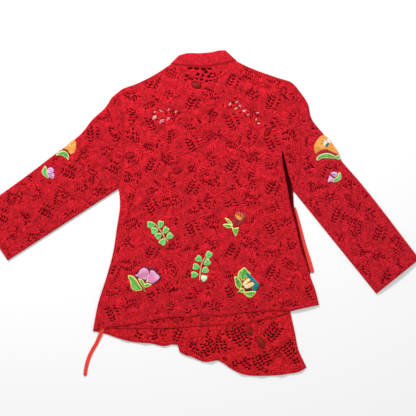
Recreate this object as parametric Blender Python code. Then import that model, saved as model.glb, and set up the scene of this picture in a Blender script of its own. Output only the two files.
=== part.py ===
"""A red lace wrap top with a stand collar, laid out flat on its front.

All sizes are in millimetres, in the cloth's own frame. x runs across, to the right as the top
lies, from the middle of its back. "down" runs from the neck seam towards the hem, so it is
-y. z runs up from the surface that the top lies on. The stack is the outer front, the inner
front and the back, with each sleeve as a lower and an upper wall. The last step moves the
whole top so that its origin is at the middle of its footprint, and turns it into metres.
"""
import math

import bpy
import numpy as np
from mathutils import Vector
from mathutils.geometry import delaunay_2d_cdt

# Cloth and how it lies
WALL = 1.2
SEAM_GAP = 0.3
LAYER = WALL + SEAM_GAP
APPLIQUE_WALL = 1.0
TIE_WALL = 1.0
SEAM_RISE = 30.0
BACK_RISE = 2.0
AIR = 1.6
AIR_RISE = 60.0
SLEEVE_PUFF = 2.2
SLEEVE_RISE = 45.0

# How closely the edges and the relief are followed
EDGE_STEP = 17.0
RELIEF_STEP = 42.0
CLEAR_OF_EDGE = 12.0
CLEAR_OF_GAP = 6.0
FLAT_BELOW_COVER = 3.0

# The lace: each leaf of openwork has two columns of slanted gaps, like a leaf's veins
REPEAT_ACROSS = 100.0
REPEAT_DOWN = 106.0
GAP_LENGTH = 8.0
GAP_WIDTH = 3.6
GAP_SLANT = 38.0
GAP_COLUMNS = 2
GAP_ROWS = 3
COLUMN_PITCH = 9.5
ROW_PITCH = 8.0
LEAF_TURN = 28.0
GAP_CLEAR_OF_EDGE = 8.0
GAP_CLEAR_OF_APPLIQUE = 5.0
BACK_FIRST_GAP = (-30, 90)

# The flap's larger lattices of gaps, as (x, down, turn, columns, rows)
FLAP_LATTICES = (
    (97, 672, 28, 3, 4), (149, 736, 30, 3, 3), (176, 664, -38, 2, 4), (219, 708, 38, 2, 3),
    (47, 696, 8, 1, 3), (16, 702, 30, 2, 3), (112, 742, 52, 1, 3), (-62, 672, -24, 2, 2),
)

# Seams and edges, as (x, down) from one end to the other
NECK_SEAM = ((-79, -6), (-44, -2), (-4, 1), (25, -1), (50, -6), (84, -14))
COLLAR_TOP = ((-57, -28), (-43, -32), (-4, -33), (25, -36), (44, -40), (56, -40))
SHOULDER_LEFT = ((-79, -6), (-110, 15), (-166, 44), (-204, 59), (-214, 67))
SHOULDER_RIGHT = ((84, -14), (109, -1), (146, 14), (189, 29), (229, 45), (234, 51))
ARMHOLE_LEFT = ((-214, 67), (-201, 110), (-197, 170), (-199, 250), (-209, 305))
ARMHOLE_RIGHT = ((234, 51), (238, 95), (245, 180), (246, 240), (239, 285), (227, 311))
SIDE_LEFT = ((-209, 305), (-206, 344), (-214, 404), (-223, 464), (-239, 524), (-260, 590), (-274, 661))
SIDE_RIGHT = ((227, 311), (228, 344), (240, 404), (252, 464), (269, 524), (282, 560), (291, 596))
BACK_HEM = (
    (291, 596), (261, 601), (217, 609), (181, 608), (119, 613), (80, 616), (63, 621),
    (24, 621), (-6, 619), (-37, 626), (-66, 624), (-107, 630), (-175, 643), (-246, 653), (-274, 661),
)
INNER_HEM = (
    (291, 596), (217, 613), (179, 626), (136, 634), (119, 639), (66, 643), (24, 646),
    (-29, 649), (-84, 653), (-164, 654), (-243, 652),
)
INNER_FREE_EDGE = ((-243, 652), (-238, 620), (-225, 580), (-196, 484), (-161, 334), (-111, 184), (-49, 34))
OUTER_FREE_EDGE = (
    (50, 34), (119, 184), (181, 334), (214, 484), (220, 614), (231, 665), (240, 709), (251, 733), (260, 752),
)
OUTER_HEM = (
    (260, 752), (246, 761), (209, 769), (149, 773), (109, 771), (69, 754), (52, 741), (38, 735),
    (9, 739), (-31, 724), (-55, 716), (-64, 694), (-91, 699), (-131, 692), (-171, 689), (-211, 679),
    (-246, 667), (-274, 661),
)
SEAM_NAMES = ("shoulder_left", "shoulder_right", "armhole_left", "armhole_right", "side_left", "side_right")
OUTER_COLLAR_END = 0.6
INNER_COLLAR_END = 0.4

# Sleeves: the underarm runs straight from the armpit, and the top edge lies this far from it
UNDERARM_LENGTH = 330.0
UNDERARM_DROP_LEFT = 32.9
UNDERARM_DROP_RIGHT = 51.1
SLEEVE_WIDTHS_LEFT = ((-117, 202), (-82, 188), (-37, 180), (0, 167), (40, 161), (94, 158), (156, 153), (330, 144))
SLEEVE_WIDTHS_RIGHT = ((-143, 163), (-121, 151), (-57, 147), (0, 141), (93, 143), (330, 138))

# Folds, as (x, down) of both ends, half the width, and the height in the middle
BACK_FOLDS = (
    (176, 190, 212, 350, 24, 1.4),
    (206, 222, 224, 330, 13, -1.1),
    (-112, 316, -208, 396, 26, 1.4),
    (-96, 338, -170, 420, 16, -1.0),
    (52, 16, 214, 84, 20, -1.1),
    (-60, 110, -150, 320, 34, 1.2),
    (120, 330, 214, 470, 28, 1.3),
    (20, 420, -36, 590, 34, 1.1),
    (-236, 470, -176, 610, 24, 1.3),
    (60, 500, 220, 575, 24, -1.0),
)
FLAP_FOLDS = (
    (-186, 660, -196, 706, 13, 2.2),
    (-140, 664, -150, 724, 13, 2.4),
    (-98, 664, -104, 736, 13, 2.2),
    (-62, 662, -44, 760, 12, 2.8),
    (-20, 668, -22, 790, 15, 2.4),
    (22, 664, 16, 810, 15, 2.8),
    (60, 672, 54, 830, 14, 2.4),
    (98, 668, 92, 866, 17, 2.8),
    (140, 690, 152, 856, 15, 2.4),
    (150, 716, 212, 664, 15, 2.0),
    (190, 690, 206, 850, 17, 2.6),
    (226, 690, 250, 820, 14, 2.4),
)
SLEEVE_FOLDS_LEFT = (
    (-266, 179, -346, 291, 22, -1.2),
    (-236, 250, -400, 352, 30, 1.4),
    (-376, 339, -470, 420, 20, -1.1),
    (-430, 300, -530, 392, 26, 1.2),
)
SLEEVE_FOLDS_RIGHT = (
    (258, 110, 270, 280, 15, -1.2),
    (290, 150, 344, 310, 28, 1.4),
    (334, 300, 396, 430, 20, -1.1),
    (380, 330, 470, 470, 26, 1.2),
)

# Embroidered leaves and flowers. A petal is (x, down, length, width, turn) and a stalk is
# (x, down, x, down). Turns are in degrees, anticlockwise as the top lies.
STALK_WIDTH = 3.2
SPRIG_LEAF = (18.5, 17.5)
SPRIG_LONG_SIDE = (-8.0, 18.7, 4, 12.5)
SPRIG_SHORT_SIDE = (6.5, 20.5, 3, 13.5)
BUD = (
    ((69, 388, 22, 11, -52), (65, 400, 22, 10, 170), (82, 411, 23, 13, -52),
     (88, 368, 26, 18, 120), (100, 372, 30, 20, 70), (104, 384, 26, 18, 20)),
    ((72, 398, 96, 380),),
)
PINK_BLOOM = (
    ((-149, 519, 34, 22, 122), (-126, 527, 38, 26, 38), (-148, 541, 26, 14, 152),
     (-134, 543, 22, 12, 12), (-168, 543, 40, 20, -58)),
    ((-158, 540, -145, 561),),
)
TEAL_BLOOM = (
    ((102, 519, 38, 28, 92), (88, 543, 34, 17, 108), (117, 569, 34, 18, -4),
     (128, 536, 42, 30, -58), (112, 548, 34, 20, 24)),
    ((104, 546, 86, 565), (104, 548, 112, 566)),
)
SLEEVE_BLOOM_LEFT = (
    ((-326, 205, 36, 30, 40), (-334, 200, 34, 24, 20), (-354, 218, 26, 11, 12), (-342, 225, 22, 11, -42)),
    ((-350, 218, -334, 206),),
)
SLEEVE_BUD_LEFT = (
    ((-378, 262, 20, 15, 55), (-374, 275, 20, 15, -20), (-396, 259, 24, 10, 75), (-391, 273, 22, 10, -38)),
    ((-392, 270, -376, 268),),
)
SLEEVE_BLOOM_RIGHT = (
    ((290, 200, 44, 34, 62), (306, 190, 46, 32, 60), (318, 206, 40, 30, -30),
     (294, 227, 24, 11, 30), (314, 224, 30, 12, -6), (332, 227, 20, 9, -12)),
    ((312, 224, 306, 200),),
)
SLEEVE_BUD_RIGHT = (
    ((325, 270, 22, 15, 30), (320, 282, 22, 15, -28), (343, 274, 25, 11, 100), (335, 286, 22, 10, 28)),
    ((320, 276, 340, 282),),
)

# Ties, as (x, down, z, width) along the middle of the strip
TIE_LEFT = (
    (-247, 642, 1.5, 9), (-249, 654, 1.5, 9), (-254, 668, 1.5, 9), (-258, 676, 1.2, 9),
    (-264, 690, 0, 9), (-274, 707, 0, 9), (-284, 728, 0, 9), (-290, 748, 0, 9), (-294, 770, 0, 8.5),
)
TIE_RIGHT = (
    (230.75, 340, 0, 5), (235.6, 365, 0, 5.5), (246, 406, 0, 6.5), (257, 450, 0, 8), (269, 490, 0, 9.5), (276, 512, 0, 10),
)
TIE_STEP = 14.0
TIE_END_STEPS = 4

# Colours are linear, from the photo's red, its brighter collar and ties, and its threads
RED = (0.48, 0.012, 0.022)
RED_COLLAR = (0.62, 0.022, 0.036)
RED_DEEP = (0.40, 0.010, 0.017)
CORAL = (0.80, 0.065, 0.045)
LEAF_GREEN = (0.24, 0.62, 0.18)
PINK = (0.80, 0.36, 0.60)
TEAL = (0.02, 0.24, 0.27)
ORANGE = (0.85, 0.36, 0.05)
MAROON = (0.30, 0.01, 0.03)
CLOTH_ROUGHNESS = 0.85
THREAD_ROUGHNESS = 0.55
MM = 0.001


def plan(rows):
    """Plan points (x, y) of a table's (x, down) rows."""
    return np.array([(x, -down) for x, down in rows], float)


def smooth_path(points, step=EDGE_STEP):
    """Points about a step apart on a smooth curve through the given ones."""
    points = np.asarray(points, float)
    runs = np.linalg.norm(np.diff(points[:, :2], axis=0), axis=1)
    at = np.concatenate(([0.0], np.cumsum(runs)))
    slopes = np.gradient(points, at, axis=0)
    wanted = np.linspace(0, at[-1], max(1, round(at[-1] / step)) + 1)
    k = np.clip(np.searchsorted(at, wanted, side="right") - 1, 0, len(runs) - 1)
    run = runs[k][:, None]
    t = ((wanted - at[k]) / runs[k])[:, None]
    return (
        (2 * t**3 - 3 * t**2 + 1) * points[k]
        + (t**3 - 2 * t**2 + t) * run * slopes[k]
        + (3 * t**2 - 2 * t**3) * points[k + 1]
        + (t**3 - t**2) * run * slopes[k + 1]
    )


def joined(*paths):
    """One closed outline from paths that follow each other, without the doubled corners."""
    points = []
    for path in paths:
        for point in path:
            if not points or np.linalg.norm(points[-1] - point) > SEAM_GAP:
                points.append(point)
    if np.linalg.norm(points[0] - points[-1]) <= SEAM_GAP:
        points.pop()
    return np.array(points)


def distance_to(points, path):
    """How far each point is from a path of straight runs."""
    start, run = path[:-1], np.diff(path, axis=0)
    away = points[:, None] - start
    share = np.clip((away * run).sum(2) / (run**2).sum(1), 0, 1)
    return np.linalg.norm(away - share[..., None] * run, axis=2).min(1)


def closed(loop):
    return np.vstack((loop, loop[:1]))


def anticlockwise(loop):
    x, y = np.asarray(loop, float).T
    area = (x * np.roll(y, -1) - y * np.roll(x, -1)).sum()
    return loop if area > 0 else loop[::-1]


def inside(points, loop):
    """Which points lie inside a closed loop."""
    x, y = points.T
    result = np.zeros(len(points), bool)
    for a, b in zip(loop, np.roll(loop, -1, axis=0)):
        if a[1] != b[1]:
            crossing = a[0] + (y - a[1]) * (b[0] - a[0]) / (b[1] - a[1])
            result ^= ((a[1] > y) != (b[1] > y)) & (x < crossing)
    return result


def turned(points, degrees):
    angle = math.radians(degrees)
    c, s = math.cos(angle), math.sin(angle)
    return np.asarray(points, float) @ np.array(((c, s), (-s, c)))


def rise(distance, width):
    """From 0 at an edge to 1 at a width from it."""
    return np.minimum(1, distance / width)


def fold_height(points, folds):
    """What the folds add: each is a soft ridge or trough that dies away at both ends."""
    total = np.zeros(len(points))
    for x0, down0, x1, down1, half_width, height in folds:
        start = np.array((x0, -down0))
        run = np.array((x1, -down1)) - start
        length = np.linalg.norm(run)
        away = points - start
        along = np.clip(away @ run / length**2, 0, 1)
        across = np.clip(np.abs(away @ np.array((-run[1], run[0]))) / length / half_width, 0, 1)
        total += height * np.sin(math.pi * along) ** 0.7 * (1 + np.cos(math.pi * across)) / 2
    return total


def beside(paths, distance):
    """Points on both sides of some paths, at a distance from them."""
    rows = []
    for path in paths:
        along = np.gradient(path, axis=0)
        across = np.stack((-along[:, 1], along[:, 0]), 1) / np.linalg.norm(along, axis=1)[:, None]
        rows += [path + across * distance, path - across * distance]
    return np.vstack(rows)


def relief_points(outline, folds, creased_at, keep_clear, spaced):
    """Points inside an outline that carry its relief: creases, folds, then an even spread."""
    rows = list(creased_at)
    for x0, down0, x1, down1, half_width, _ in folds:
        start = np.array((x0, -down0), float)
        run = np.array((x1, -down1)) - start
        side = np.array((-run[1], run[0])) / np.linalg.norm(run) * half_width
        steps = max(2, round(np.linalg.norm(run) / RELIEF_STEP))
        for i in range(steps + 1):
            rows += [start + run * i / steps + side * k for k in (-1, 0, 1)]
    if spaced:
        low, high = outline.min(0), outline.max(0)
        for j, y in enumerate(np.arange(low[1], high[1], RELIEF_STEP * 0.87)):
            shift = RELIEF_STEP / 2 * (j % 2)
            rows += [np.array((x, y)) for x in np.arange(low[0] + shift, high[0], RELIEF_STEP)]
    points = np.array(rows).reshape(-1, 2)
    points = points[inside(points, outline)]
    points = points[distance_to(points, closed(outline)) > CLEAR_OF_EDGE]
    for shape in keep_clear:
        points = points[distance_to(points, closed(shape)) > CLEAR_OF_GAP]
    kept = []
    for point in points:
        if all(np.linalg.norm(point - other) > CLEAR_OF_EDGE for other in kept):
            kept.append(point)
    return kept


def petal(x, down, length, width, turn, count=8):
    """A leaf or petal: an oval that comes to a soft point at its tip."""
    angles = np.arange(count) * 2 * math.pi / count
    pointed = np.stack((np.cos(angles) * length, np.sin(angles) * width * (1 - 0.25 * np.cos(angles))), 1) / 2
    return turned(pointed, turn) + (x, -down)


def stalk(x0, down0, x1, down1):
    """A straight stalk, as a narrow strip."""
    start, end = np.array((x0, -down0), float), np.array((x1, -down1), float)
    side = turned(end - start, 90) / np.linalg.norm(end - start) * STALK_WIDTH / 2
    return np.array((start - side, end - side, end + side, start + side))


def flower(petals, stalks):
    return [petal(*row) for row in petals] + [stalk(*row) for row in stalks]


def sprig(x0, down0, x1, down1, long_side):
    """A stem with round leaves: four on its long side, which is 1 or -1, and three opposite."""
    start, end = np.array((x0, -down0), float), np.array((x1, -down1), float)
    along = (end - start) / np.linalg.norm(end - start)
    across = np.array((along[1], -along[0])) * long_side
    turn = math.degrees(math.atan2(along[1], along[0]))
    shapes = [stalk(x0, down0, x1, down1)]
    for way, (first, pitch, count, offset) in ((1, SPRIG_LONG_SIDE), (-1, SPRIG_SHORT_SIDE)):
        for i in range(count):
            middle = start + along * (first + pitch * i) + across * way * offset
            foot = start + along * max(2, first + pitch * i - 4)
            shapes.append(petal(middle[0], -middle[1], *SPRIG_LEAF, turn))
            shapes.append(stalk(foot[0], -foot[1], middle[0], -middle[1]))
    return shapes


def lace_gaps(outline, keep_clear, first, turn=0.0):
    """The largest gaps of each repeat of the lace, where they clear the edges and the embroidery."""
    low, high = outline.min(0), outline.max(0)
    reach = np.linalg.norm(high - low)
    gaps = []
    for i in range(-int(reach / REPEAT_ACROSS), int(reach / REPEAT_ACROSS) + 1):
        for j in range(-int(reach / REPEAT_DOWN), int(reach / REPEAT_DOWN) + 1):
            half_drop = REPEAT_DOWN / 2 * (i % 2)
            middle = turned((i * REPEAT_ACROSS, -j * REPEAT_DOWN - half_drop), turn) + (first[0], -first[1])
            way = 1 if (i + j) % 2 else -1
            if inside(middle[None], outline)[0]:
                gaps += openwork_leaf(middle, turn + way * LEAF_TURN)
    return clear_gaps(gaps, outline, keep_clear)


def clear_gaps(gaps, outline, keep_clear=()):
    """The gaps that clear an outline and the shapes sewn inside it."""
    kept = []
    for gap in gaps:
        clear = inside(gap, outline).all() and distance_to(gap, closed(outline)).min() > GAP_CLEAR_OF_EDGE
        if clear and all(apart(gap, shape, GAP_CLEAR_OF_APPLIQUE) for shape in keep_clear):
            kept.append(gap)
    return kept


def openwork_leaf(middle, turn, columns=GAP_COLUMNS, rows=GAP_ROWS):
    """Slanted gaps on both sides of a leaf's middle vein."""
    gaps = []
    for column in range(columns):
        side = 1 if column % 2 else -1
        for row in range(rows):
            at = ((column - (columns - 1) / 2) * COLUMN_PITCH, (row - (rows - 1) / 2) * ROW_PITCH)
            gap = turned(lozenge(GAP_LENGTH, GAP_WIDTH), side * GAP_SLANT) + at
            gaps.append(turned(gap, turn) + middle)
    return gaps


def lozenge(length, width):
    return np.array(((-length / 2, 0), (0, -width / 2), (length / 2, 0), (0, width / 2)))


def apart(gap, shape, margin):
    return not inside(gap, shape).any() and distance_to(gap, closed(shape)).min() > margin


def triangulated(outline, gaps, shapes, relief):
    """Plan points, triangles, and the loops that each triangle lies in: 0 is the outline."""
    coords, loops = [], []
    for loop in [outline, *gaps, *shapes]:
        loops.append(list(range(len(coords), len(coords) + len(loop))))
        coords += [Vector(point) for point in anticlockwise(loop)]
    coords += [Vector(point) for point in relief]
    points, _, faces, _, _, sources = delaunay_2d_cdt(coords, [], loops, 0, 1e-5)
    return np.array([tuple(p) for p in points]), faces, [set(s) for s in sources]


def wall_between(name, points, faces, lower, upper, material):
    """One closed solid over plan triangles, from the lower heights to the upper ones."""
    used = sorted({v for face in faces for v in face})
    index = {v: i for i, v in enumerate(used)}
    count = len(used)
    vertices = [(*points[v], z[v]) for z in (lower, upper) for v in used]
    solid, open_edges = [], set()
    for face in faces:
        a, b, c = (index[v] for v in face)
        (ax, ay), (bx, by), (cx, cy) = (points[v] for v in face)
        if (bx - ax) * (cy - ay) - (by - ay) * (cx - ax) < 0:
            b, c = c, b
        solid += [(a + count, b + count, c + count), (c, b, a)]
        for edge in ((a, b), (b, c), (c, a)):
            if edge[::-1] in open_edges:
                open_edges.discard(edge[::-1])
            else:
                open_edges.add(edge)
    for a, b in sorted(open_edges):
        solid += [(a, b, b + count), (a, b + count, a + count)]
    return new_object(name, vertices, solid, material)


def panel(name, outline, base, material, folds=(), gaps=(), appliques=(), spaced=True, creased_at=()):
    """A panel of cloth with its gaps, and what is sewn on it, made from the same triangles."""
    shapes = [shape for _, parts, _ in appliques for shape in parts]
    relief = relief_points(outline, folds, creased_at, [*gaps, *shapes], spaced)
    points, faces, sources = triangulated(outline, gaps, shapes, relief)
    holes = set(range(1, len(gaps) + 1))
    cloth = [i for i, s in enumerate(sources) if 0 in s and not s & holes]
    height = base(points)
    made = [wall_between(name, points, [faces[i] for i in cloth], height, height + WALL, material)]
    first = len(gaps) + 1
    for sewn_name, parts, sewn_material in appliques:
        own = set(range(first, first + len(parts)))
        first += len(parts)
        sewn = [faces[i] for i in cloth if sources[i] & own]
        lower = height + WALL + SEAM_GAP
        made.append(wall_between(sewn_name, points, sewn, lower, lower + APPLIQUE_WALL, sewn_material))
    return made


def loft(name, rings, material):
    """A closed solid through rings of as many points each, with its two ends filled."""
    size = len(rings[0])
    vertices = [tuple(point) for ring in rings for point in ring]
    faces = []
    for r in range(len(rings) - 1):
        for i in range(size):
            a, b = r * size + i, r * size + (i + 1) % size
            faces += [(a, b + size, b), (a, a + size, b + size)]
    last = (len(rings) - 1) * size
    for i in range(1, size - 1):
        faces += [(0, i, i + 1), (last, last + i + 1, last + i)]
    return new_object(name, vertices, faces, material)


def tie(name, rows, material):
    """A flat strip along its middle line, with a rounded free end."""
    middle = smooth_path([(x, -down, z, width) for x, down, z, width in rows], TIE_STEP)
    tangents = np.gradient(middle[:, :2], axis=0)
    tangents /= np.linalg.norm(tangents, axis=1)[:, None]
    stations = [(p[:2], t, max(0, p[2]), p[3]) for p, t in zip(middle, tangents)]
    end, way, z, width = stations.pop()
    for k in range(TIE_END_STEPS + 1):
        angle = math.pi / 2 * k / (TIE_END_STEPS + 0.6)
        stations.append((end + way * width / 2 * math.sin(angle), way, z, width * math.cos(angle)))
    rings = []
    for point, way, z, width in stations:
        side = np.array((-way[1], way[0])) * width / 2
        corners = ((point - side, z), (point - side, z + TIE_WALL), (point + side, z + TIE_WALL), (point + side, z))
        rings.append([(*at, height) for at, height in corners])
    return loft(name, rings, material)


def collar(name, material):
    """The stand collar, pressed flat: one band that turns over at both ends of the neck."""
    seam, top = smooth_path(plan(NECK_SEAM)), smooth_path(plan(COLLAR_TOP))
    shares = [np.linspace(0, 1, len(path)) for path in (seam, top)]

    def at(path, share, u):
        return np.array([np.interp(u, share, path[:, k]) for k in range(2)])

    def height(u):
        """How far the back part has risen, a distance from the nearer fold."""
        width = seam[-1, 0] - seam[0, 0]
        return rise(min(u, 1 - u) * width, SEAM_RISE)

    low = WALL / 2
    stations = [(u, 0, low) for u in np.linspace(OUTER_COLLAR_END, 0.0, 7)]
    stations += fold_over(0.0, low, low + LAYER)
    stations += [(u, 0, low + LAYER + BACK_RISE * height(u)) for u in np.linspace(0, 1, 13)]
    stations += fold_over(1.0, low + LAYER, low)
    stations += [(u, 0, low + LAYER * height(u)) for u in np.linspace(1, INNER_COLLAR_END, 7)]
    stations = [s for s, before in zip(stations, [None, *stations]) if s != before]

    middle = []
    for u, out, z in stations:
        lower_edge, upper_edge = at(seam, shares[0], u), at(top, shares[1], u)
        lean = upper_edge - lower_edge
        outward = np.array((-lean[1], lean[0])) / np.linalg.norm(lean) * (1 if u < 0.5 else -1)
        lower_edge = lower_edge + (0, SEAM_GAP)
        middle.append([(*(edge + outward * out), z) for edge in (lower_edge, (lower_edge + upper_edge) / 2, upper_edge)])
    middle = np.array(middle)
    along = np.gradient(middle, axis=0)
    up_band = middle[:, -1:] - middle[:, :1]
    normal = np.cross(along, up_band)
    normal /= np.linalg.norm(normal, axis=2)[..., None]
    rings = [[*(m + n * low), *(m - n * low)[::-1]] for m, n in zip(middle, normal)]
    return loft(name, rings, material)


def fold_over(u, z_from, z_to, steps=5):
    """Stations round one turned end of the collar."""
    radius = abs(z_to - z_from) / 2
    centre = (z_from + z_to) / 2
    angles = [math.pi * k / steps for k in range(steps + 1)]
    return [(u, radius * math.sin(a), centre + (z_from - centre) * math.cos(a)) for a in angles]


def new_material(name, colour, roughness=CLOTH_ROUGHNESS):
    material = bpy.data.materials.new(name)
    material.use_nodes = True
    surface = material.node_tree.nodes["Principled BSDF"].inputs
    surface["Base Color"].default_value = (*colour, 1)
    surface["Roughness"].default_value = roughness
    surface["Metallic"].default_value = 0
    return material


def new_object(name, vertices, faces, material):
    mesh = bpy.data.meshes.new(name)
    mesh.from_pydata(vertices, [], faces)
    mesh.materials.append(material)
    thing = bpy.data.objects.new(name, mesh)
    bpy.context.scene.collection.objects.link(thing)
    return thing


def sleeve_outline(armhole, widths, drop, side):
    """A sleeve's outline, round from the shoulder, and its edges that are sewn or folded."""
    seam = smooth_path(plan(armhole)) + (side * SEAM_GAP, 0)
    armpit = seam[-1]
    angle = math.radians(drop)
    along = np.array((side * math.cos(angle), -math.sin(angle)))
    across = np.array((side * math.sin(angle), math.cos(angle)))
    top = smooth_path([seam[0], *(armpit + along * a + across * w for a, w in widths)])
    underarm = smooth_path([armpit, armpit + along * UNDERARM_LENGTH])
    cuff = smooth_path([top[-1], underarm[-1]])
    return joined(top, cuff, underarm[::-1], seam[::-1]), (seam, top, underarm)


def sleeve(side_name, armhole, widths, drop, side, folds, first_gap, material, appliques):
    """A sleeve as a lower wall on the surface and an upper wall that rises over it."""
    outline, held = sleeve_outline(armhole, widths, drop, side)
    turn = -side * drop

    def upper_base(points):
        lift = rise(np.min([distance_to(points, path) for path in held], axis=0), SLEEVE_RISE)
        return LAYER + (SLEEVE_PUFF + fold_height(points, folds)) * lift

    shapes = [shape for _, parts, _ in appliques for shape in parts]
    gaps = lace_gaps(outline, shapes, first_gap, turn)
    lower_gaps = lace_gaps(outline, (), (first_gap[0] + side * REPEAT_ACROSS / 2, first_gap[1]), turn)
    panel(f"sleeve_{side_name}_lower", outline, on_surface, material, gaps=lower_gaps, spaced=False)
    panel(f"sleeve_{side_name}_upper", outline, upper_base, material, folds, gaps, appliques)


def on_surface(points):
    return np.zeros(len(points))


def body_edges():
    """The smooth seams and edges that the body's panels share, from the neck down."""
    rows = {
        "neck": NECK_SEAM, "shoulder_left": SHOULDER_LEFT, "shoulder_right": SHOULDER_RIGHT,
        "armhole_left": ARMHOLE_LEFT, "armhole_right": ARMHOLE_RIGHT, "side_left": SIDE_LEFT,
        "side_right": SIDE_RIGHT, "back_hem": BACK_HEM, "inner_hem": INNER_HEM, "outer_hem": OUTER_HEM,
    }
    return {name: smooth_path(plan(table)) for name, table in rows.items()}


def back_panel(edge, material, appliques):
    seams = [edge[name] for name in SEAM_NAMES]
    ends = [edge["neck"], edge["back_hem"]]

    def base(points):
        sewn = np.min([distance_to(points, path) for path in seams], axis=0)
        ended = np.min([distance_to(points, path) for path in ends], axis=0)
        air = AIR * rise(sewn, AIR_RISE) * rise(ended, AIR_RISE)
        folds = fold_height(points, BACK_FOLDS) * rise(ended, AIR_RISE)
        return LAYER + (BACK_RISE + air + folds) * rise(sewn, SEAM_RISE)

    outline = joined(
        edge["neck"], edge["shoulder_right"], edge["armhole_right"], edge["side_right"], edge["back_hem"],
        edge["side_left"][::-1], edge["armhole_left"][::-1], edge["shoulder_left"][::-1],
    )
    shapes = [shape for _, parts, _ in appliques for shape in parts]
    gaps = lace_gaps(outline, shapes, BACK_FIRST_GAP)
    panel("back", outline, base, material, BACK_FOLDS, gaps, appliques, creased_at=beside(seams, SEAM_RISE))


def inner_front(edge, material):
    """The right front, which wraps under the other one: the middle layer as the top lies."""
    seams = [edge[name] for name in SEAM_NAMES if name.endswith("right")]
    neck = edge["neck"][round(INNER_COLLAR_END * (len(edge["neck"]) - 1)):]
    free_edge = smooth_path([*plan(INNER_FREE_EDGE), neck[0]])

    def base(points):
        sewn = np.min([distance_to(points, path) for path in seams], axis=0)
        return LAYER * rise(sewn, SEAM_RISE)

    outline = joined(
        neck, edge["shoulder_right"], edge["armhole_right"], edge["side_right"], edge["inner_hem"], free_edge
    )
    panel("front_inner", outline, base, material, creased_at=beside(seams, SEAM_RISE))


def outer_front(edge, material):
    """The left front, which wraps over: the lowest layer as the top lies, longest at its free edge."""
    neck = edge["neck"][:round(OUTER_COLLAR_END * (len(edge["neck"]) - 1)) + 1]
    free_edge = smooth_path([neck[-1], *plan(OUTER_FREE_EDGE)])
    outline = joined(
        neck, free_edge, edge["outer_hem"], edge["side_left"][::-1], edge["armhole_left"][::-1],
        edge["shoulder_left"][::-1],
    )

    def base(points):
        return fold_height(points, FLAP_FOLDS)

    gaps = []
    for x, down, turn, columns, rows in FLAP_LATTICES:
        gaps += openwork_leaf(np.array((x, -down)), turn, columns, rows)
    gaps = [gap for gap in clear_gaps(gaps, outline) if below_inner_hem(gap)]
    below_cover = edge["inner_hem"] - (0, FLAT_BELOW_COVER)
    panel("front_outer", outline, base, material, FLAP_FOLDS, gaps, spaced=False, creased_at=below_cover)


def below_inner_hem(gap):
    """Whether a gap lies on the flap, where nothing covers it."""
    hem = plan(INNER_HEM)[::-1]
    return bool((gap[:, 1] < np.interp(gap[:, 0], hem[:, 0], hem[:, 1]) - GAP_CLEAR_OF_EDGE).all())


def centre_on_the_surface():
    """Moves every piece so that the origin is below the middle of the top, and turns it into metres."""
    things = list(bpy.context.scene.objects)
    corners = np.array([v.co for thing in things for v in thing.data.vertices])
    low, high = corners.min(0), corners.max(0)
    middle = Vector(((low[0] + high[0]) / 2, (low[1] + high[1]) / 2, low[2]))
    for thing in things:
        for vertex in thing.data.vertices:
            vertex.co = (vertex.co - middle) * MM


def main():
    for thing in list(bpy.data.objects):
        bpy.data.objects.remove(thing)
    lace = new_material("red_lace", RED)
    flap_lace = new_material("red_lace_front", RED_DEEP)
    collar_lace = new_material("red_lace_collar", RED_COLLAR)
    ribbon = new_material("coral_ribbon", CORAL)
    green = new_material("green_thread", LEAF_GREEN, THREAD_ROUGHNESS)
    pink = new_material("pink_thread", PINK, THREAD_ROUGHNESS)
    teal = new_material("teal_thread", TEAL, THREAD_ROUGHNESS)
    orange = new_material("orange_thread", ORANGE, THREAD_ROUGHNESS)
    maroon = new_material("maroon_thread", MAROON, THREAD_ROUGHNESS)

    edge = body_edges()
    outer_front(edge, flap_lace)
    inner_front(edge, flap_lace)
    back_panel(edge, lace, (
        ("applique_sprig_left", sprig(-118, 393, -87, 437, 1), green),
        ("applique_sprig_middle", sprig(6, 477, -8, 531, -1), green),
        ("applique_bud", flower(*BUD), maroon),
        ("applique_bloom_left", flower(*PINK_BLOOM), pink),
        ("applique_bloom_right", flower(*TEAL_BLOOM), teal),
    ))
    sleeve(
        "left", ARMHOLE_LEFT, SLEEVE_WIDTHS_LEFT, UNDERARM_DROP_LEFT, -1, SLEEVE_FOLDS_LEFT, (-280, 170), lace,
        (
            ("applique_sleeve_left_bloom", flower(*SLEEVE_BLOOM_LEFT), orange),
            ("applique_sleeve_left_bud", flower(*SLEEVE_BUD_LEFT), pink),
        ),
    )
    sleeve(
        "right", ARMHOLE_RIGHT, SLEEVE_WIDTHS_RIGHT, UNDERARM_DROP_RIGHT, 1, SLEEVE_FOLDS_RIGHT, (290, 150), lace,
        (
            ("applique_sleeve_right_bloom", flower(*SLEEVE_BLOOM_RIGHT), orange),
            ("applique_sleeve_right_bud", flower(*SLEEVE_BUD_RIGHT), pink),
        ),
    )
    collar("collar", collar_lace)
    tie("tie_left", TIE_LEFT, ribbon)
    tie("tie_right", TIE_RIGHT, ribbon)
    centre_on_the_surface()


main()
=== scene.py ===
"""The finished look of a red lace wrap top, laid out flat with its back up.

Sizes are in millimetres, in the cloth's own frame. x runs across, to the right as the top
lies, from the middle of its back. "down" runs from the neck seam to the hem, so it is -y.
z runs up from the surface. A mesh is moved to the frame's place, in metres, when it is made.
"""
import math

import bpy
import numpy as np
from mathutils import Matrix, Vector
from mathutils.bvhtree import BVHTree
from mathutils.geometry import delaunay_2d_cdt
from mathutils.kdtree import KDTree


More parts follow.
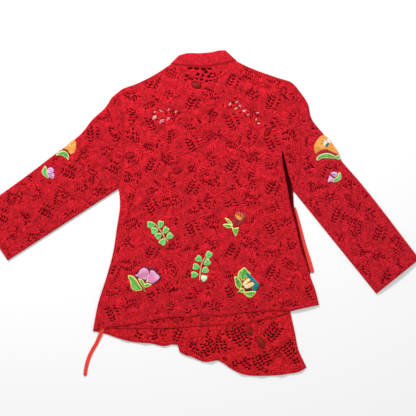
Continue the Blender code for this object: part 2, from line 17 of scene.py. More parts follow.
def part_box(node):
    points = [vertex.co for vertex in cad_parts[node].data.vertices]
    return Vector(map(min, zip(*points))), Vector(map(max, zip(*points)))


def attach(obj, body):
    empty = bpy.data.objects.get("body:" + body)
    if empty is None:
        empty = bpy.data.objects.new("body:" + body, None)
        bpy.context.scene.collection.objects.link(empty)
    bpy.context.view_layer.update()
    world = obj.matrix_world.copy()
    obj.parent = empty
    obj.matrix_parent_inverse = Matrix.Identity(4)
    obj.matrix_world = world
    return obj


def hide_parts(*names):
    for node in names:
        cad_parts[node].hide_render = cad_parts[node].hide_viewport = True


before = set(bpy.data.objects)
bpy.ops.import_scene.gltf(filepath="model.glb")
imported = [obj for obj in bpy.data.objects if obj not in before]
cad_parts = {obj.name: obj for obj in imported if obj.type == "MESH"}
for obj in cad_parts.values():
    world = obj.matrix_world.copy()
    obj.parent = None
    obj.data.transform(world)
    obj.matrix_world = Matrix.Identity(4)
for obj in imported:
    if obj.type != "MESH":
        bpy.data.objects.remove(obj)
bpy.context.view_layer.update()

MM = 0.001
HEM_CORNER = (-274.0, 661.0)

# The cloth
THICKNESS = 1.1
SINK = 0.1
EDGE_STEP = 4.0
CORNER_TURN = 38.0
CLOTH_STEP = 5.0
CLEAR_OF_HOLE = 2.2
SMOOTHING = 30
CRUMPLE_WAVES = 9
CRUMPLE_LENGTHS = (16.0, 58.0)
CREASE_SCALE = 1.9
CREASE_END = 0.7
RELIEF_MARGIN = 22.0
LAYER_GAP = 0.1
CRUMPLES = {
    "back": 2.6, "sleeve_left_upper": 2.4, "sleeve_right_upper": 2.4, "front_outer": 2.6, "front_inner": 1.4,
}
# The panels from the lowest up, each with its finish, its slot and what it lies on
PANELS = {
    "front_outer": ("red_lace_fronts", "red_lace_front", "floor"),
    "front_inner": ("red_lace_fronts", "red_lace_front", "lace_front_outer"),
    "back": ("red_lace_back", "red_lace", "lace_front_inner"),
    "sleeve_left_lower": ("red_lace_left_sleeve", "red_lace", "floor"),
    "sleeve_left_upper": ("red_lace_left_sleeve", "red_lace", "lace_sleeve_left_lower"),
    "sleeve_right_lower": ("red_lace_right_sleeve", "red_lace", "floor"),
    "sleeve_right_upper": ("red_lace_right_sleeve", "red_lace", "lace_sleeve_right_lower"),
}
# The panels that lie above a panel
ABOVE = {
    "front_outer": ("back", "front_inner"), "front_inner": ("back",),
    "sleeve_left_lower": ("sleeve_left_upper",), "sleeve_right_lower": ("sleeve_right_upper",),
}

# The lace's repeat, the same as its large gaps follow
REPEAT_ACROSS = 100.0
REPEAT_DOWN = 106.0
LEAF_TURN = 28.0
GAP_SIZE = (9.6, 3.0)
SLANT = 34.0
PATCH_PITCH = (8.6, 6.0)
LEAF_PITCH = (9.5, 8.0)
DASH_SIZE = (9.6, 2.5)
DASH = ((-0.5, 0), (-0.32, -0.5), (0.32, -0.5), (0.5, 0), (0.32, 0.5), (-0.32, 0.5))
HOLE_CLEARANCE = 0.75
CLEAR_OF_EDGE = 6.0
CLEAR_OF_EMBROIDERY = 3.0
# How far inside a covering layer the painted shade grows to its full depth
SHADE_DEPTH = 7.0
LEAF_CORDS = ((26, 60), (34, 70))
RING_SHARES = (0.45, 0.72, 1.0)
TENDRIL_TURNS = (0, 75, 140)
TENDRIL_LENGTH = 52
TENDRIL_SWING = 7
TENDRIL_START = (14, 10)
CORD_RADIUS = 0.5
CORD_CLEAR_OF_HOLE = 1.4
CORD_CLEAR_OF_EDGE = 3.0
SHORTEST_CORD = 3

# More zigzag bands of openwork in each repeat, as (across, down, turn, columns, rows)
PATCHES = (
    (46, -20, -60, 3, 6), (-38, 34, 75, 3, 4), (4, -50, 100, 2, 5), (50, 32, 20, 2, 4),
    (-48, -14, 140, 2, 5), (18, 48, -30, 1, 4),
)
# Rosettes of corded rings in each repeat, as (across, down, radius, petals)
ROSETTES = ((24, 6, 15, 5), (-34, 8, 12, 4), (-12, 46, 13, 5))

# Where the frame's gaps start in each panel, as (x, down, turn of the repeat)
FIRST_GAP = {
    "back": (-30, 90, 0), "front_inner": (-20, 60, 0), "front_outer": (-60, 100, 0),
    "sleeve_left_upper": (-280, 170, 32.9), "sleeve_left_lower": (-330, 170, 32.9),
    "sleeve_right_upper": (290, 150, -51.1), "sleeve_right_lower": (340, 150, -51.1),
}

# The flap's open lattices, as (x, down, turn, columns, rows)
LATTICES = (
    (97, 672, 28, 5, 6), (149, 736, 30, 5, 5), (176, 664, -38, 4, 6), (219, 708, 38, 4, 5),
    (47, 696, 8, 3, 5), (16, 702, 30, 4, 5), (112, 742, 52, 3, 4), (-62, 672, -24, 2, 4),
    (16, 674, -20, 2, 4), (-120, 676, 20, 2, 2), (-160, 672, -30, 2, 2), (68, 669, 20, 2, 3),
    (115, 696, 30, 2, 3), (234, 736, 20, 2, 2), (155, 762, 0, 2, 1), (80, 744, -50, 2, 3),
    (-20, 700, 70, 2, 3),
)
LATTICE_SIZE = (9.2, 3.9)
LATTICE_PITCH = (9.5, 8.0)

# Large holes under the neck, as (x, down, turn, length, width)
NECK_HOLES = (
    (-30, 5, 4, 14, 5.5), (-14, 6, 0, 14, 6), (2, 7, 0, 13, 6), (18, 6, -6, 12, 5), (-39, 24, 10, 9, 5),
    (-11, 20, -20, 8, 6), (9, 14, 30, 8, 7), (16, 26, -10, 8, 6), (-2, 33, 12, 10, 5), (10, 37, 20, 8, 5),
    (-14, 31, 0, 7, 4), (-42, 34, 0, 9, 4), (1, 23, 40, 7, 5), (22, 18, 60, 7, 5), (20, 36, 0, 8, 4),
)
# Ovals of plain net between the motifs, as (x, down, turn, length, width), brown ones and red ones
BROWN_OVALS = {
    "back": ((-15, 48, -20, 27, 18), (-84, 596, 15, 14, 8)),
    "front_inner": ((6, 632, 4, 24, 9),),
    "front_outer": (
        (147, 691, -66, 35, 17), (117, 661, -62, 28, 14), (124, 740, -60, 30, 12), (44, 711, 15, 26, 17),
        (-46, 664, 0, 20, 12),
    ),
}
RED_OVALS = {
    "back": ((-181, 224, 8, 28, 18), (-181, 57, 20, 22, 11), (163, 165, 60, 24, 14), (-62, 262, 20, 26, 16)),
    "sleeve_left_upper": ((-300, 210, 40, 24, 13),),
    "sleeve_right_upper": ((366, 330, -50, 22, 12),),
}

# Pale embroidery of the fronts, which shows through the yoke's openings, as (x, down, turn, length, width)
YOKE_LEFT = (
    (-119, 114, 30, 7, 6), (-104, 111, -20, 14, 6), (-85, 109, 40, 8, 5), (-66, 113, 10, 7, 6),
    (-121, 129, 50, 14, 9), (-101, 137, 45, 18, 8), (-86, 131, 30, 12, 6),
)
YOKE_RIGHT = (
    (69, 94, 60, 8, 7), (86, 89, 30, 11, 5), (94, 99, -30, 9, 7), (83, 105, 20, 9, 6), (104, 111, 10, 9, 6),
    (113, 121, 60, 8, 5), (138, 116, 30, 8, 5), (134, 133, 70, 9, 5), (140, 142, 0, 8, 5),
)

# The slit below the right armpit, where the back's edge stands off the fronts, as (x, down) up to
# its tip and down again. The lower front reaches the ribbon there, in the shade of the slit.
SLIT = (
    (260, 492), (253, 478), (244.5, 450), (235.5, 406), (227, 373), (220, 346), (215.5, 321.5), (212.5, 302),
    (208, 283), (203.5, 260), (199.5, 237), (198, 211), (201, 213), (206, 233.5), (210.5, 251), (215, 270),
    (220.5, 288), (224.5, 302), (226.6, 311),
)
FRONT_EDGE = ((268, 522), (269.8, 514), (263, 490), (251.9, 450), (241.6, 406), (231.9, 365))
# Where the fronts' colour is darkened in the slit, as painted shade, as (x, down)
SLIT_SHADE = (
    (269, 526), (273, 514), (266, 490), (255, 450), (245, 406), (235, 365), (230, 340), (229, 312),
    (219, 286), (205, 231), (199, 206), (196, 206), (196, 237), (201, 260), (206, 283), (211, 302),
    (214, 321), (218, 346), (225, 373), (234, 406), (244, 450), (252, 478), (259, 504),
)
DETOURS = {"back": SLIT, "front_outer": FRONT_EDGE}

# Soft creases finer than the frame's folds, as (x, down, x, down, half width, height)
CREASES = {
    "back": (
        (-125, 312, -206, 380, 11, 2.4), (-113, 333, -190, 398, 10, 1.0), (57, 8, 199, 58, 11, 2.2),
        (49, 33, 191, 83, 13, 2.0), (131, 266, 199, 308, 10, 2.0), (186, 216, 212, 342, 9, 1.6),
        (-150, 60, -190, 150, 18, 1.2), (150, 60, 215, 170, 18, 1.2), (-60, 200, 40, 340, 26, 1.0),
        (90, 300, 60, 470, 22, 1.0), (-190, 440, -150, 620, 18, 1.3), (230, 440, 262, 570, 14, 1.2),
        (-210, 330, -120, 300, 10, 1.0), (120, 190, 196, 330, 16, 1.1), (-60, 60, 60, 90, 16, 0.8),
        (-40, 380, -120, 560, 18, -1.2), (150, 470, 60, 600, 18, -1.2), (-200, 180, -120, 260, 14, -1.0),
    ),
    "front_inner": (
        (-60, 628, -62, 652, 7, 1.2), (-46, 628, -48, 652, 6, -1.2), (110, 618, 100, 640, 9, 0.9),
    ),
    "front_outer": (
        (160, 712, 206, 684, 7, 2.4), (156, 746, 194, 700, 8, 2.4), (-46, 706, -20, 722, 8, -1.0),
        (212, 700, 236, 752, 8, 2.0), (84, 700, 100, 756, 9, 1.8), (20, 660, 4, 722, 8, 1.6),
        (170, 722, 230, 690, 7, -1.4), (60, 664, 80, 730, 8, 1.6), (200, 664, 236, 690, 8, 1.6),
        (-120, 664, -100, 694, 8, 1.4), (-190, 660, -170, 684, 8, 1.2), (30, 732, 130, 764, 7, 1.2),
    ),
    "sleeve_left_upper": (
        (-275, 173, -355, 285, 12, 2.3), (-383, 334, -431, 399, 10, 2.2), (-300, 260, -440, 350, 14, 1.4),
        (-230, 140, -250, 290, 10, 1.2), (-300, 150, -390, 250, 12, 1.2), (-430, 280, -500, 380, 12, -1.2),
    ),
    "sleeve_right_upper": (
        (246, 100, 259, 290, 11, 2.4), (300, 160, 330, 330, 12, 1.5), (350, 296, 430, 436, 12, 1.8),
        (276, 130, 290, 300, 9, 1.1), (380, 330, 440, 420, 11, 1.3),
    ),
}

# The collar's and the ties' own lines, as in the frame. A tie's rows are (x, down, height, width).
NECK_SEAM = ((-79, -6), (-44, -2), (-4, 1), (25, -1), (50, -6), (84, -14))
COLLAR_TOP = ((-57, -28), (-43, -32), (-4, -33), (25, -36), (44, -40), (56, -40))
OUTER_COLLAR_END = 0.6
INNER_COLLAR_END = 0.4
LAYER = 1.5
SEAM_GAP = 0.3
SEAM_RISE = 30.0
BACK_RISE = 2.0
COLLAR_LIES = 0.6
COLLAR_HALF = 0.5
COLLAR_BANDS = 7
COLLAR_TURN_STEPS = 8
TIE_LEFT = (
    (-247, 642, 1.5, 9), (-249, 654, 1.5, 9), (-254, 668, 1.5, 9), (-258, 676, 1.2, 9), (-264, 690, 0, 9),
    (-274, 707, 0, 9), (-284, 728, 0, 9), (-290, 748, 0, 9), (-294, 774, 0, 8.5),
)
TIE_RIGHT = (
    (231.0, 352, 0, 3.5), (234.6, 365, 0, 5.0), (245.2, 406, 0, 6.5), (256.2, 450, 0, 8),
    (268.2, 490, 0, 9.5), (275.2, 516, 0, 10),
)
# Each tie's line and its flat size in metres
TIES = {"left": (TIE_LEFT, (0.010, 0.143)), "right": (TIE_RIGHT, (0.010, 0.176))}
RIBBON_THICKNESS = 0.8
RIBBON_SHARES = 9

# Rolled edges of each panel that shows, as (start, end, how far inside the roll and the stitches run)
EDGES = {
    "back": (
        ((-274, 661), (291, 596), 0.8, 8.0), ((234, 51), (84, -14), 0.8, 4.0),
        ((84, -14), (-79, -6), 0.8, 0), ((-79, -6), (-214, 67), 0.8, 4.0),
        ((-214, 67), (-209, 305), -0.2, 4.0), ((-209, 305), (-274, 661), 0.8, 0),
        ((227, 300), (234, 51), -0.2, 4.0),
    ),
    "front_inner": (((-243, 652), (291, 596), 0.8, 8.0),),
    "front_outer": (((-274, 661), (260, 752), 0.8, 7.0), ((260, 752), (231, 665), 0.8, 5.0)),
    "sleeve_left_upper": (((-564, 363), (-486, 484), 0.8, 9.0),),
    "sleeve_right_upper": (((434, 568), (541, 481), 0.8, 9.0),),
}
ROLL_RADIUS = 0.8
STITCH_RADIUS = 0.35
STITCH_PITCH = 3.2

# Embroidery. A petal is (finish, root, tip, outline), with its points as (x, down). A stem or an
# edging thread is (finish, radius, path).
PINK_BLOOM = (
    ("maroon_petal", (-146, 548), (-134, 505), (
        (-170, 524), (-158, 508), (-146, 499), (-134, 503), (-120, 504), (-111, 515), (-102, 528),
        (-110, 536), (-125, 545), (-145, 541), (-160, 531))),
    ("lime_leaf", (-152, 559), (-184, 524), (
        (-186, 523), (-175, 523), (-168, 528), (-158, 543), (-151, 554), (-153, 559), (-168, 560),
        (-177, 554), (-180, 540))),
    ("pink_petal", (-144, 534), (-150, 508), (
        (-168, 522), (-161, 518), (-155, 508), (-145, 503), (-136, 509), (-133, 518), (-141, 532),
        (-149, 531), (-158, 527))),
    ("pink_petal", (-141, 540), (-114, 520), (
        (-130, 510), (-122, 510), (-115, 517), (-107, 528), (-124, 542), (-134, 539), (-141, 539),
        (-137, 526), (-131, 516))),
    ("lime_leaf", (-145, 551), (-159, 531), (
        (-160, 530), (-152, 531), (-146, 538), (-143, 548), (-147, 551), (-154, 542))),
    ("lime_leaf", (-145, 549), (-127, 545), (
        (-146, 545), (-137, 541), (-127, 545), (-134, 550), (-144, 552))),
)
PINK_STEMS = (("green_stem", 1.4, ((-149, 549), (-146, 555), (-143, 562))),)
TEAL_BLOOM = (
    # Painted shadow: a near-black pad along the teal petal's lower edge, above the leaf below it
    ("black_petal", (100, 552), (134, 560), (
        (100, 548), (112, 552), (124, 556), (136, 545), (142, 546), (140, 556), (130, 562), (112, 560))),
    ("lime_leaf", (99, 533), (105, 504), (
        (88, 524), (90, 513), (97, 507), (105, 502), (113, 510), (120, 519), (110, 528), (100, 535),
        (94, 528))),
    ("lime_leaf", (94, 555), (82, 526), (
        (80, 525), (88, 526), (96, 536), (99, 546), (93, 556), (84, 550), (81, 538))),
    ("lime_leaf", (102, 562), (133, 562), (
        (100, 561), (110, 563), (122, 561), (134, 562), (126, 574), (116, 577), (106, 570))),
    ("teal_petal", (107, 517), (133, 558), (
        (105, 517), (112, 514), (120, 521), (128, 529), (138, 540), (141, 546), (138, 554), (129, 560),
        (123, 556), (128, 546), (126, 538), (119, 533), (113, 527))),
    ("cream_petal", (102, 546), (118, 531), (
        (100, 544), (106, 535), (115, 529), (120, 533), (113, 541), (105, 549))),
    ("cream_petal", (104, 552), (128, 542), (
        (104, 551), (113, 543), (124, 539), (129, 544), (122, 551), (111, 555))),
    ("lime_leaf", (92, 562), (104, 557), ((91, 562), (97, 553), (105, 558), (100, 565))),
)
TEAL_STEMS = (("green_stem", 1.3, ((98, 560), (92, 562), (86, 565))),)
BUD = (
    ("rose_petal", (84, 398), (96, 374), (
        (80, 398), (76, 384), (82, 372), (94, 366), (106, 368), (112, 376), (106, 388), (94, 396))),
    ("lime_leaf", (76, 398), (58, 380), ((56, 379), (63, 380), (71, 387), (76, 397), (71, 396), (63, 389))),
    ("lime_leaf", (74, 402), (54, 396), ((51, 395), (62, 393), (71, 395), (75, 401), (66, 404), (57, 401))),
    ("lime_leaf", (74, 403), (84, 423), ((73, 402), (81, 404), (90, 402), (88, 414), (83, 424), (77, 414))),
    ("orange_petal", (83, 375), (97, 382), ((81, 372), (90, 373), (99, 380), (94, 385), (86, 381))),
)
BUD_STEMS = (
    ("rose_edge", 0.9, ((78, 402), (82, 394), (88, 384))),
    ("rose_cord", 0.8, ((82, 396), (90, 394), (98, 388), (104, 380))),
    ("rose_cord", 0.8, ((80, 392), (79, 384), (82, 376))),
    ("orange_edge", 0.8, ((84, 372), (83, 366))),
    ("orange_edge", 0.8, ((88, 372), (88, 364))),
    ("orange_edge", 0.8, ((92, 373), (94, 365))),
    ("orange_edge", 0.8, ((96, 376), (100, 369))),
    ("orange_edge", 0.8, ((99, 379), (104, 374))),
)
SLEEVE_BLOOM_RIGHT = (
    ("orange_petal", (312, 205), (300, 172), (
        (300, 172), (291, 178), (284, 187), (278, 202), (283, 219), (290, 214), (302, 208), (314, 206),
        (318, 190), (312, 178))),
    ("orange_petal", (316, 206), (342, 200), (
        (313, 180), (322, 190), (332, 204), (342, 219), (335, 219), (324, 214), (312, 208), (313, 196))),
    ("rose_petal", (309, 214), (284, 223), (
        (284, 223), (296, 214), (309, 210), (322, 214), (337, 222), (333, 226), (321, 220), (309, 218),
        (297, 220), (288, 226))),
    ("white_petal", (311, 200), (298, 190), (
        (297, 188), (303, 190), (310, 196), (311, 201), (305, 200), (300, 195))),
    ("white_petal", (311, 198), (303, 183), (
        (302, 181), (307, 184), (313, 190), (313, 198), (308, 196), (304, 190))),
    ("white_petal", (314, 194), (312, 183), ((310, 181), (315, 182), (319, 188), (318, 194), (313, 192))),
    ("teal_petal", (308, 202), (317, 188), (
        (306, 201), (306, 196), (310, 191), (315, 188), (318, 190), (316, 196), (311, 202))),
    ("pale_leaf", (311, 223), (285, 232), (
        (284, 233), (289, 224), (298, 219), (310, 217), (313, 223), (311, 229), (298, 230), (290, 235))),
    ("pale_leaf", (310, 223), (342, 229), (
        (310, 217), (322, 219), (333, 224), (341, 221), (343, 232), (339, 233), (331, 230), (311, 229))),
)
SLEEVE_BLOOM_RIGHT_EDGES = (
    ("black_edge", 0.7, ((299, 187), (302, 185), (304, 186))),
    ("black_edge", 0.7, ((295, 194), (298, 193), (301, 192))),
    ("cream_edge", 0.8, ((300, 201), (294, 199), (289, 196))),
)
SLEEVE_BUD_RIGHT = (
    ("pale_leaf", (327, 286), (344, 264), (
        (343, 264), (346, 270), (346, 278), (343, 284), (335, 288), (325, 289), (327, 283), (331, 279),
        (337, 275), (339, 268))),
    ("lilac_petal", (333, 275), (320, 266), (
        (332, 276), (325, 273), (320, 266), (327, 263), (335, 265), (337, 270))),
    ("lilac_petal", (329, 281), (314, 287), (
        (330, 281), (328, 286), (321, 288), (313, 288), (315, 280), (318, 272), (323, 276))),
)
SLEEVE_BUD_EDGES_RIGHT = (
    ("purple_edge", 0.7, ((316, 270), (322, 275), (328, 279), (331, 279))),
    ("purple_edge", 0.6, ((319, 266), (322, 263), (329, 262), (336, 264))),
)
SLEEVE_BLOOM_LEFT = (
    ("orange_petal", (-338, 208), (-318, 186), (
        (-322, 184), (-330, 189), (-338, 197), (-346, 205), (-337, 210), (-331, 219), (-321, 217),
        (-316, 208), (-315, 197), (-316, 189))),
    ("white_petal", (-334, 200), (-329, 193), (
        (-336, 198), (-331, 193), (-327, 193), (-328, 198), (-333, 202))),
    ("rose_petal", (-336, 214), (-344, 207), (
        (-350, 207), (-341, 209), (-333, 218), (-331, 224), (-337, 218), (-344, 212))),
    ("pale_leaf", (-346, 217), (-366, 221), (
        (-366, 221), (-358, 214), (-350, 211), (-343, 213), (-345, 223), (-355, 222), (-363, 223))),
    ("pale_leaf", (-346, 217), (-335, 233), (
        (-350, 211), (-341, 213), (-334, 222), (-335, 234), (-340, 229), (-348, 224))),
)
SLEEVE_BLOOM_LEFT_EDGES = (("rose_edge", 0.9, ((-347, 208), (-340, 211), (-334, 219), (-330, 223))),)
SLEEVE_BUD_LEFT = (
    ("pale_leaf", (-386, 276), (-393, 249), (
        (-393, 248), (-398, 255), (-402, 263), (-398, 271), (-392, 276), (-384, 279), (-385, 272),
        (-388, 266), (-388, 257))),
    ("lilac_petal", (-386, 267), (-374, 257), (
        (-387, 266), (-386, 256), (-379, 252), (-372, 257), (-372, 264), (-380, 269))),
    ("lilac_petal", (-386, 272), (-371, 276), (
        (-386, 270), (-377, 267), (-371, 268), (-370, 276), (-374, 281), (-380, 278), (-385, 275))),
)
SLEEVE_BUD_EDGES_LEFT = (
    ("purple_edge", 0.7, ((-371, 264), (-378, 268), (-386, 269))),
    ("purple_edge", 0.6, ((-386, 254), (-379, 251), (-372, 255), (-370, 262), (-369, 270))),
)
# Sprig leaves, as (x, down, length, width, turn to the pointed end), and a finish where it differs
SPRIG_LEAVES_LEFT = (
    (-130, 395, 21, 16, 0), (-104, 393, 19, 15, -105), (-91, 408, 19, 15, -125), (-81, 423, 19, 16, -140),
    (-121, 410, 18, 17, 10), (-111, 424, 18, 17, 40), (-100, 439, 18, 17, 60),
)
SPRIG_STEM_LEFT = ("tan_stem", 1.4, ((-120, 392), (-108, 406), (-99, 419), (-94, 428), (-86, 438)))
SPRIG_LEAVES_MIDDLE = (
    (16, 470, 21, 16, -120), (13, 489, 18, 16, -150), (8, 508, 18, 16, -150),
    (4, 528, 18, 16, -100, "white_leaf"), (-10, 480, 18, 16, -40), (-17, 500, 18, 16, -10),
    (-21, 520, 18, 16, 0),
)
SPRIG_STEM_MIDDLE = ("tan_stem", 1.4, ((6, 478), (-2, 494), (-5, 509), (-7, 533)))
# Knots of thread, as (finish, radius, place)
BEADS = (
    ("pink_bead", 1.5, (85, 365)), ("pink_bead", 1.4, (92, 366)), ("pink_bead", 1.4, (98, 369)),
    ("pink_bead", 1.2, (103, 373)),
)
# The embroidered flowers, as (name, node, panel, sprig leaves, petals, stems, edging threads, knots)
FLOWERS = (
    ("sprig_left", "applique_sprig_left", "back", SPRIG_LEAVES_LEFT, (), (SPRIG_STEM_LEFT,), (), ()),
    ("sprig_middle", "applique_sprig_middle", "back", SPRIG_LEAVES_MIDDLE, (), (SPRIG_STEM_MIDDLE,), (), ()),
    ("bud", "applique_bud", "back", (), BUD, BUD_STEMS, (), BEADS),
    ("pink_bloom", "applique_bloom_left", "back", (), PINK_BLOOM, PINK_STEMS, (), ()),
    ("teal_bloom", "applique_bloom_right", "back", (), TEAL_BLOOM, TEAL_STEMS, (), ()),
    ("left_sleeve_bloom", "applique_sleeve_left_bloom", "sleeve_left_upper", (), SLEEVE_BLOOM_LEFT, (),
     SLEEVE_BLOOM_LEFT_EDGES, ()),
    ("left_sleeve_bud", "applique_sleeve_left_bud", "sleeve_left_upper", (), SLEEVE_BUD_LEFT, (),
     SLEEVE_BUD_EDGES_LEFT, ()),
    ("right_sleeve_bloom", "applique_sleeve_right_bloom", "sleeve_right_upper", (), SLEEVE_BLOOM_RIGHT, (),
     SLEEVE_BLOOM_RIGHT_EDGES, ()),
    ("right_sleeve_bud", "applique_sleeve_right_bud", "sleeve_right_upper", (), SLEEVE_BUD_RIGHT, (),
     SLEEVE_BUD_EDGES_RIGHT, ()),
)
PETAL_STEP = 1.5
PETAL_SHOULDER = 3.2
CHANNEL_DEPTH = 0.3
CHANNEL_HALF = 1.2
PETAL_DOME = 0.9
FLAT_DOME = 0.2
FLAT_PETALS = ("maroon_petal", "black_petal", "rose_petal")
PETAL_LIFT = 0.35
PETAL_RISE = 0.12
PETAL_SINK = 0.25
STEM_LIFT = 0.8
EDGING_LIFT = 1.1
NET_THICKNESS = 0.3
NET_OVERLAP = 0.7
PAINTED_SHADE_NET_DEPTH = 0.6
OVAL_NET_DEPTH = 0.45
YOKE_DOME = 0.3
YOKE_LIFT = 0.1

# Satin stitch, as (body, rim, mark, root, tip, rim's width, share of marks), and twisted threads, as
# (colour, shade). Colours are on the usual 0 to 255 scale.
SATIN = {
    "mint_leaf": ((116, 216, 106), (170, 236, 150), (42, 128, 44), None, None, 1.6, 0.6),
    "white_leaf": ((238, 246, 226), (176, 230, 150), (200, 230, 180), None, None, 1.6, 0.4),
    "lime_leaf": ((124, 204, 84), (242, 246, 140), (52, 74, 30), None, None, 1.7, 0.75),
    "pale_leaf": ((112, 190, 84), (232, 244, 178), (44, 110, 40), None, None, 1.5, 0.6),
    "pink_petal": (
        (226, 134, 190), (236, 176, 218), (238, 150, 120), (246, 226, 190), (244, 176, 224), 1.6, 0.4),
    "maroon_petal": ((118, 10, 52), (74, 8, 44), (60, 4, 34), None, None, 1.6, 0.6),
    "teal_petal": ((16, 132, 138), (22, 150, 152), (6, 68, 84), None, None, 1.6, 0.7),
    # Painted shadow: a near-black pad where shade falls beside the teal petal
    "black_petal": ((40, 22, 16), (30, 14, 12), (60, 40, 20), None, None, 1.6, 0.6),
    "cream_petal": ((240, 234, 190), (236, 226, 130), (236, 196, 90), (252, 252, 248), None, 1.6, 0.6),
    "rose_petal": ((160, 14, 26), (184, 44, 56), (124, 6, 16), None, None, 0.8, 0.6),
    "yoke_white": ((244, 206, 200), (214, 70, 82), (198, 30, 44), None, None, 0.5, 0.95),
    "yoke_pink": ((240, 156, 158), (210, 56, 68), (196, 28, 42), None, None, 0.5, 0.95),
    "yoke_cream": ((232, 190, 120), (206, 70, 60), (190, 30, 40), None, None, 0.5, 0.95),
    "orange_petal": ((246, 168, 70), (238, 128, 84), (214, 112, 30), None, None, 1.6, 0.5),
    "white_petal": ((244, 236, 222), (250, 246, 236), (220, 196, 170), None, None, 1.6, 0.4),
    "lilac_petal": ((236, 182, 226), (246, 220, 242), (170, 58, 156), (250, 240, 248), None, 0.9, 0.8),
}
TWISTED = {
    "tan_stem": ((226, 206, 150), 0.8), "green_stem": ((96, 190, 90), 0.75),
    "rose_edge": ((130, 8, 20), 0.55), "rose_cord": ((206, 60, 72), 0.8),
    "orange_edge": ((238, 170, 70), 0.8), "cream_edge": ((246, 236, 214), 0.8),
    "black_edge": ((44, 34, 30), 0.55), "purple_edge": ((120, 30, 130), 0.55),
    "pink_bead": ((244, 150, 150), 0.8),
    "red_cord": ((222, 40, 52), 0.6), "deep_red_cord": ((206, 34, 46), 0.6),
}
# Lace, as (turn of its grain, dark, light, size of a motif, strength of its painted cord highlights and
# # groove and pit shade), and nets, as (openings, threads)
LACES = {
    "red_lace_back": (0, (152, 10, 18), (236, 42, 56), 38.0, 1.0),
    "red_lace_left_sleeve": (-32.9, (146, 10, 18), (230, 40, 54), 38.0, 1.0),
    "red_lace_right_sleeve": (51.1, (148, 10, 20), (232, 42, 58), 38.0, 1.0),
    "red_lace_fronts": (0, (150, 10, 18), (238, 42, 52), 38.0, 1.0),
    "red_lace_collar": (6, (166, 14, 26), (226, 42, 56), 24.0, 0.55),
}
NETS = {
    "brown_net": ((62, 10, 10), (186, 52, 44)), "red_net": ((120, 8, 16), (196, 34, 44)),
    # Painted shade: a near-black net that stands for the shade seen through the lower panels' holes
    "painted_shade_net": ((34, 3, 8), (74, 8, 14)),
}
YOKE_FINISHES = ("yoke_white", "yoke_pink", "yoke_pink", "yoke_cream")
VEIN_PITCH = 6.2
RING_PITCH = 6.4
WEAVE_PITCH = 1.4
NET_PITCH = 2.6

# The studio, in metres. A light is (name, place, size, energy).
FLOOR_HALF = 4.0
FLOOR_HEIGHT = -0.0006
FLOOR_SHADE = 0.93
SKY_STRENGTH = 0.6
LIGHTS = (("key", (-0.9, 2.1, 1.35), 0.5, 62), ("fill", (1.2, -0.9, 2.2), 1.6, 7))
CAMERA_PLACE = (0.0251, 0.0130, 3.0)
PHOTO_WIDTH = 1.04
SENSOR_WIDTH = 36

random = np.random.default_rng(41)


def frame_offset():
    """Where the cloth's own frame lies in the model's, from the back's corner at the hem."""
    low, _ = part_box("back")
    return np.array((low.x / MM - HEM_CORNER[0], low.y / MM + HEM_CORNER[1], 0.0))


OFFSET = frame_offset()


def to_frame(points):
    return (np.asarray(points, float) + OFFSET) * MM


def plan(rows):
    """Plan points (x, y) of (x, down) rows."""
    return np.array([(row[0], -row[1]) for row in rows], float)


def placed(rows):
    """Rows that start with (x, down), with y in place of down."""
    return [(x, -down, *rest) for x, down, *rest in rows]


def rows_of(points):
    """Plan points as (x, down) rows."""
    return [(x, -y) for x, y in points]


def turned(points, degrees):
    """Plan points turned anticlockwise about the origin."""
    angle = math.radians(degrees)
    c, s = math.cos(angle), math.sin(angle)
    return np.asarray(points, float) @ np.array(((c, s), (-s, c)))


def closed(loop):
    return np.vstack((loop, loop[:1]))


def area_of(loop):
    x, y = np.asarray(loop)[:, :2].T
    return (x * np.roll(y, -1) - y * np.roll(x, -1)).sum() / 2


def anticlockwise(loop):
    return loop if area_of(loop) > 0 else loop[::-1]


def batches(points, edges):
    """The points in parts small enough to be set against every edge at once."""
    size = max(1, 2_000_000 // max(1, edges))
    return [points[k:k + size] for k in range(0, len(points), size)]


def inside(points, loop):
    """Which points lie inside a closed loop."""
    a, b = loop, np.roll(loop, -1, axis=0)
    sloping = a[:, 1] != b[:, 1]
    a, b = a[sloping], b[sloping]
    slope = (b[:, 0] - a[:, 0]) / (b[:, 1] - a[:, 1])
    found = [np.zeros(0, bool)]
    for part in batches(points, len(a)):
        x, y = part[:, :1], part[:, 1:2]
        crossed = ((a[:, 1] > y) != (b[:, 1] > y)) & (x < a[:, 0] + (y - a[:, 1]) * slope)
        found.append(crossed.sum(1) % 2 == 1)
    return np.concatenate(found)


def distance_to(points, path):
    """How far each point is from a path of straight runs."""
    start, run = path[:-1], np.diff(path, axis=0)
    square = (run**2).sum(1)
    found = [np.zeros(0)]
    for part in batches(points, len(start)):
        away_x = part[:, :1] - start[:, 0]
        away_y = part[:, 1:2] - start[:, 1]
        share = np.clip((away_x * run[:, 0] + away_y * run[:, 1]) / square, 0, 1)
        away_x -= share * run[:, 0]
        away_y -= share * run[:, 1]
        found.append(np.sqrt((away_x**2 + away_y**2).min(1)))
    return np.concatenate(found)


def smooth_path(points, step):
    """Points about a step apart on a smooth curve through the given ones."""
    points = np.asarray(points, float)
    runs = np.linalg.norm(np.diff(points[:, :2], axis=0), axis=1)
    at = np.concatenate(([0.0], np.cumsum(runs)))
    slopes = np.gradient(points, at, axis=0)
    wanted = np.linspace(0, at[-1], max(1, round(at[-1] / step)) + 1)
    k = np.clip(np.searchsorted(at, wanted, side="right") - 1, 0, len(runs) - 1)
    run = runs[k][:, None]
    t = ((wanted - at[k]) / runs[k])[:, None]
    return (
        (2 * t**3 - 3 * t**2 + 1) * points[k]
        + (t**3 - 2 * t**2 + t) * run * slopes[k]
        + (3 * t**2 - 2 * t**3) * points[k + 1]
        + (t**3 - t**2) * run * slopes[k + 1]
    )


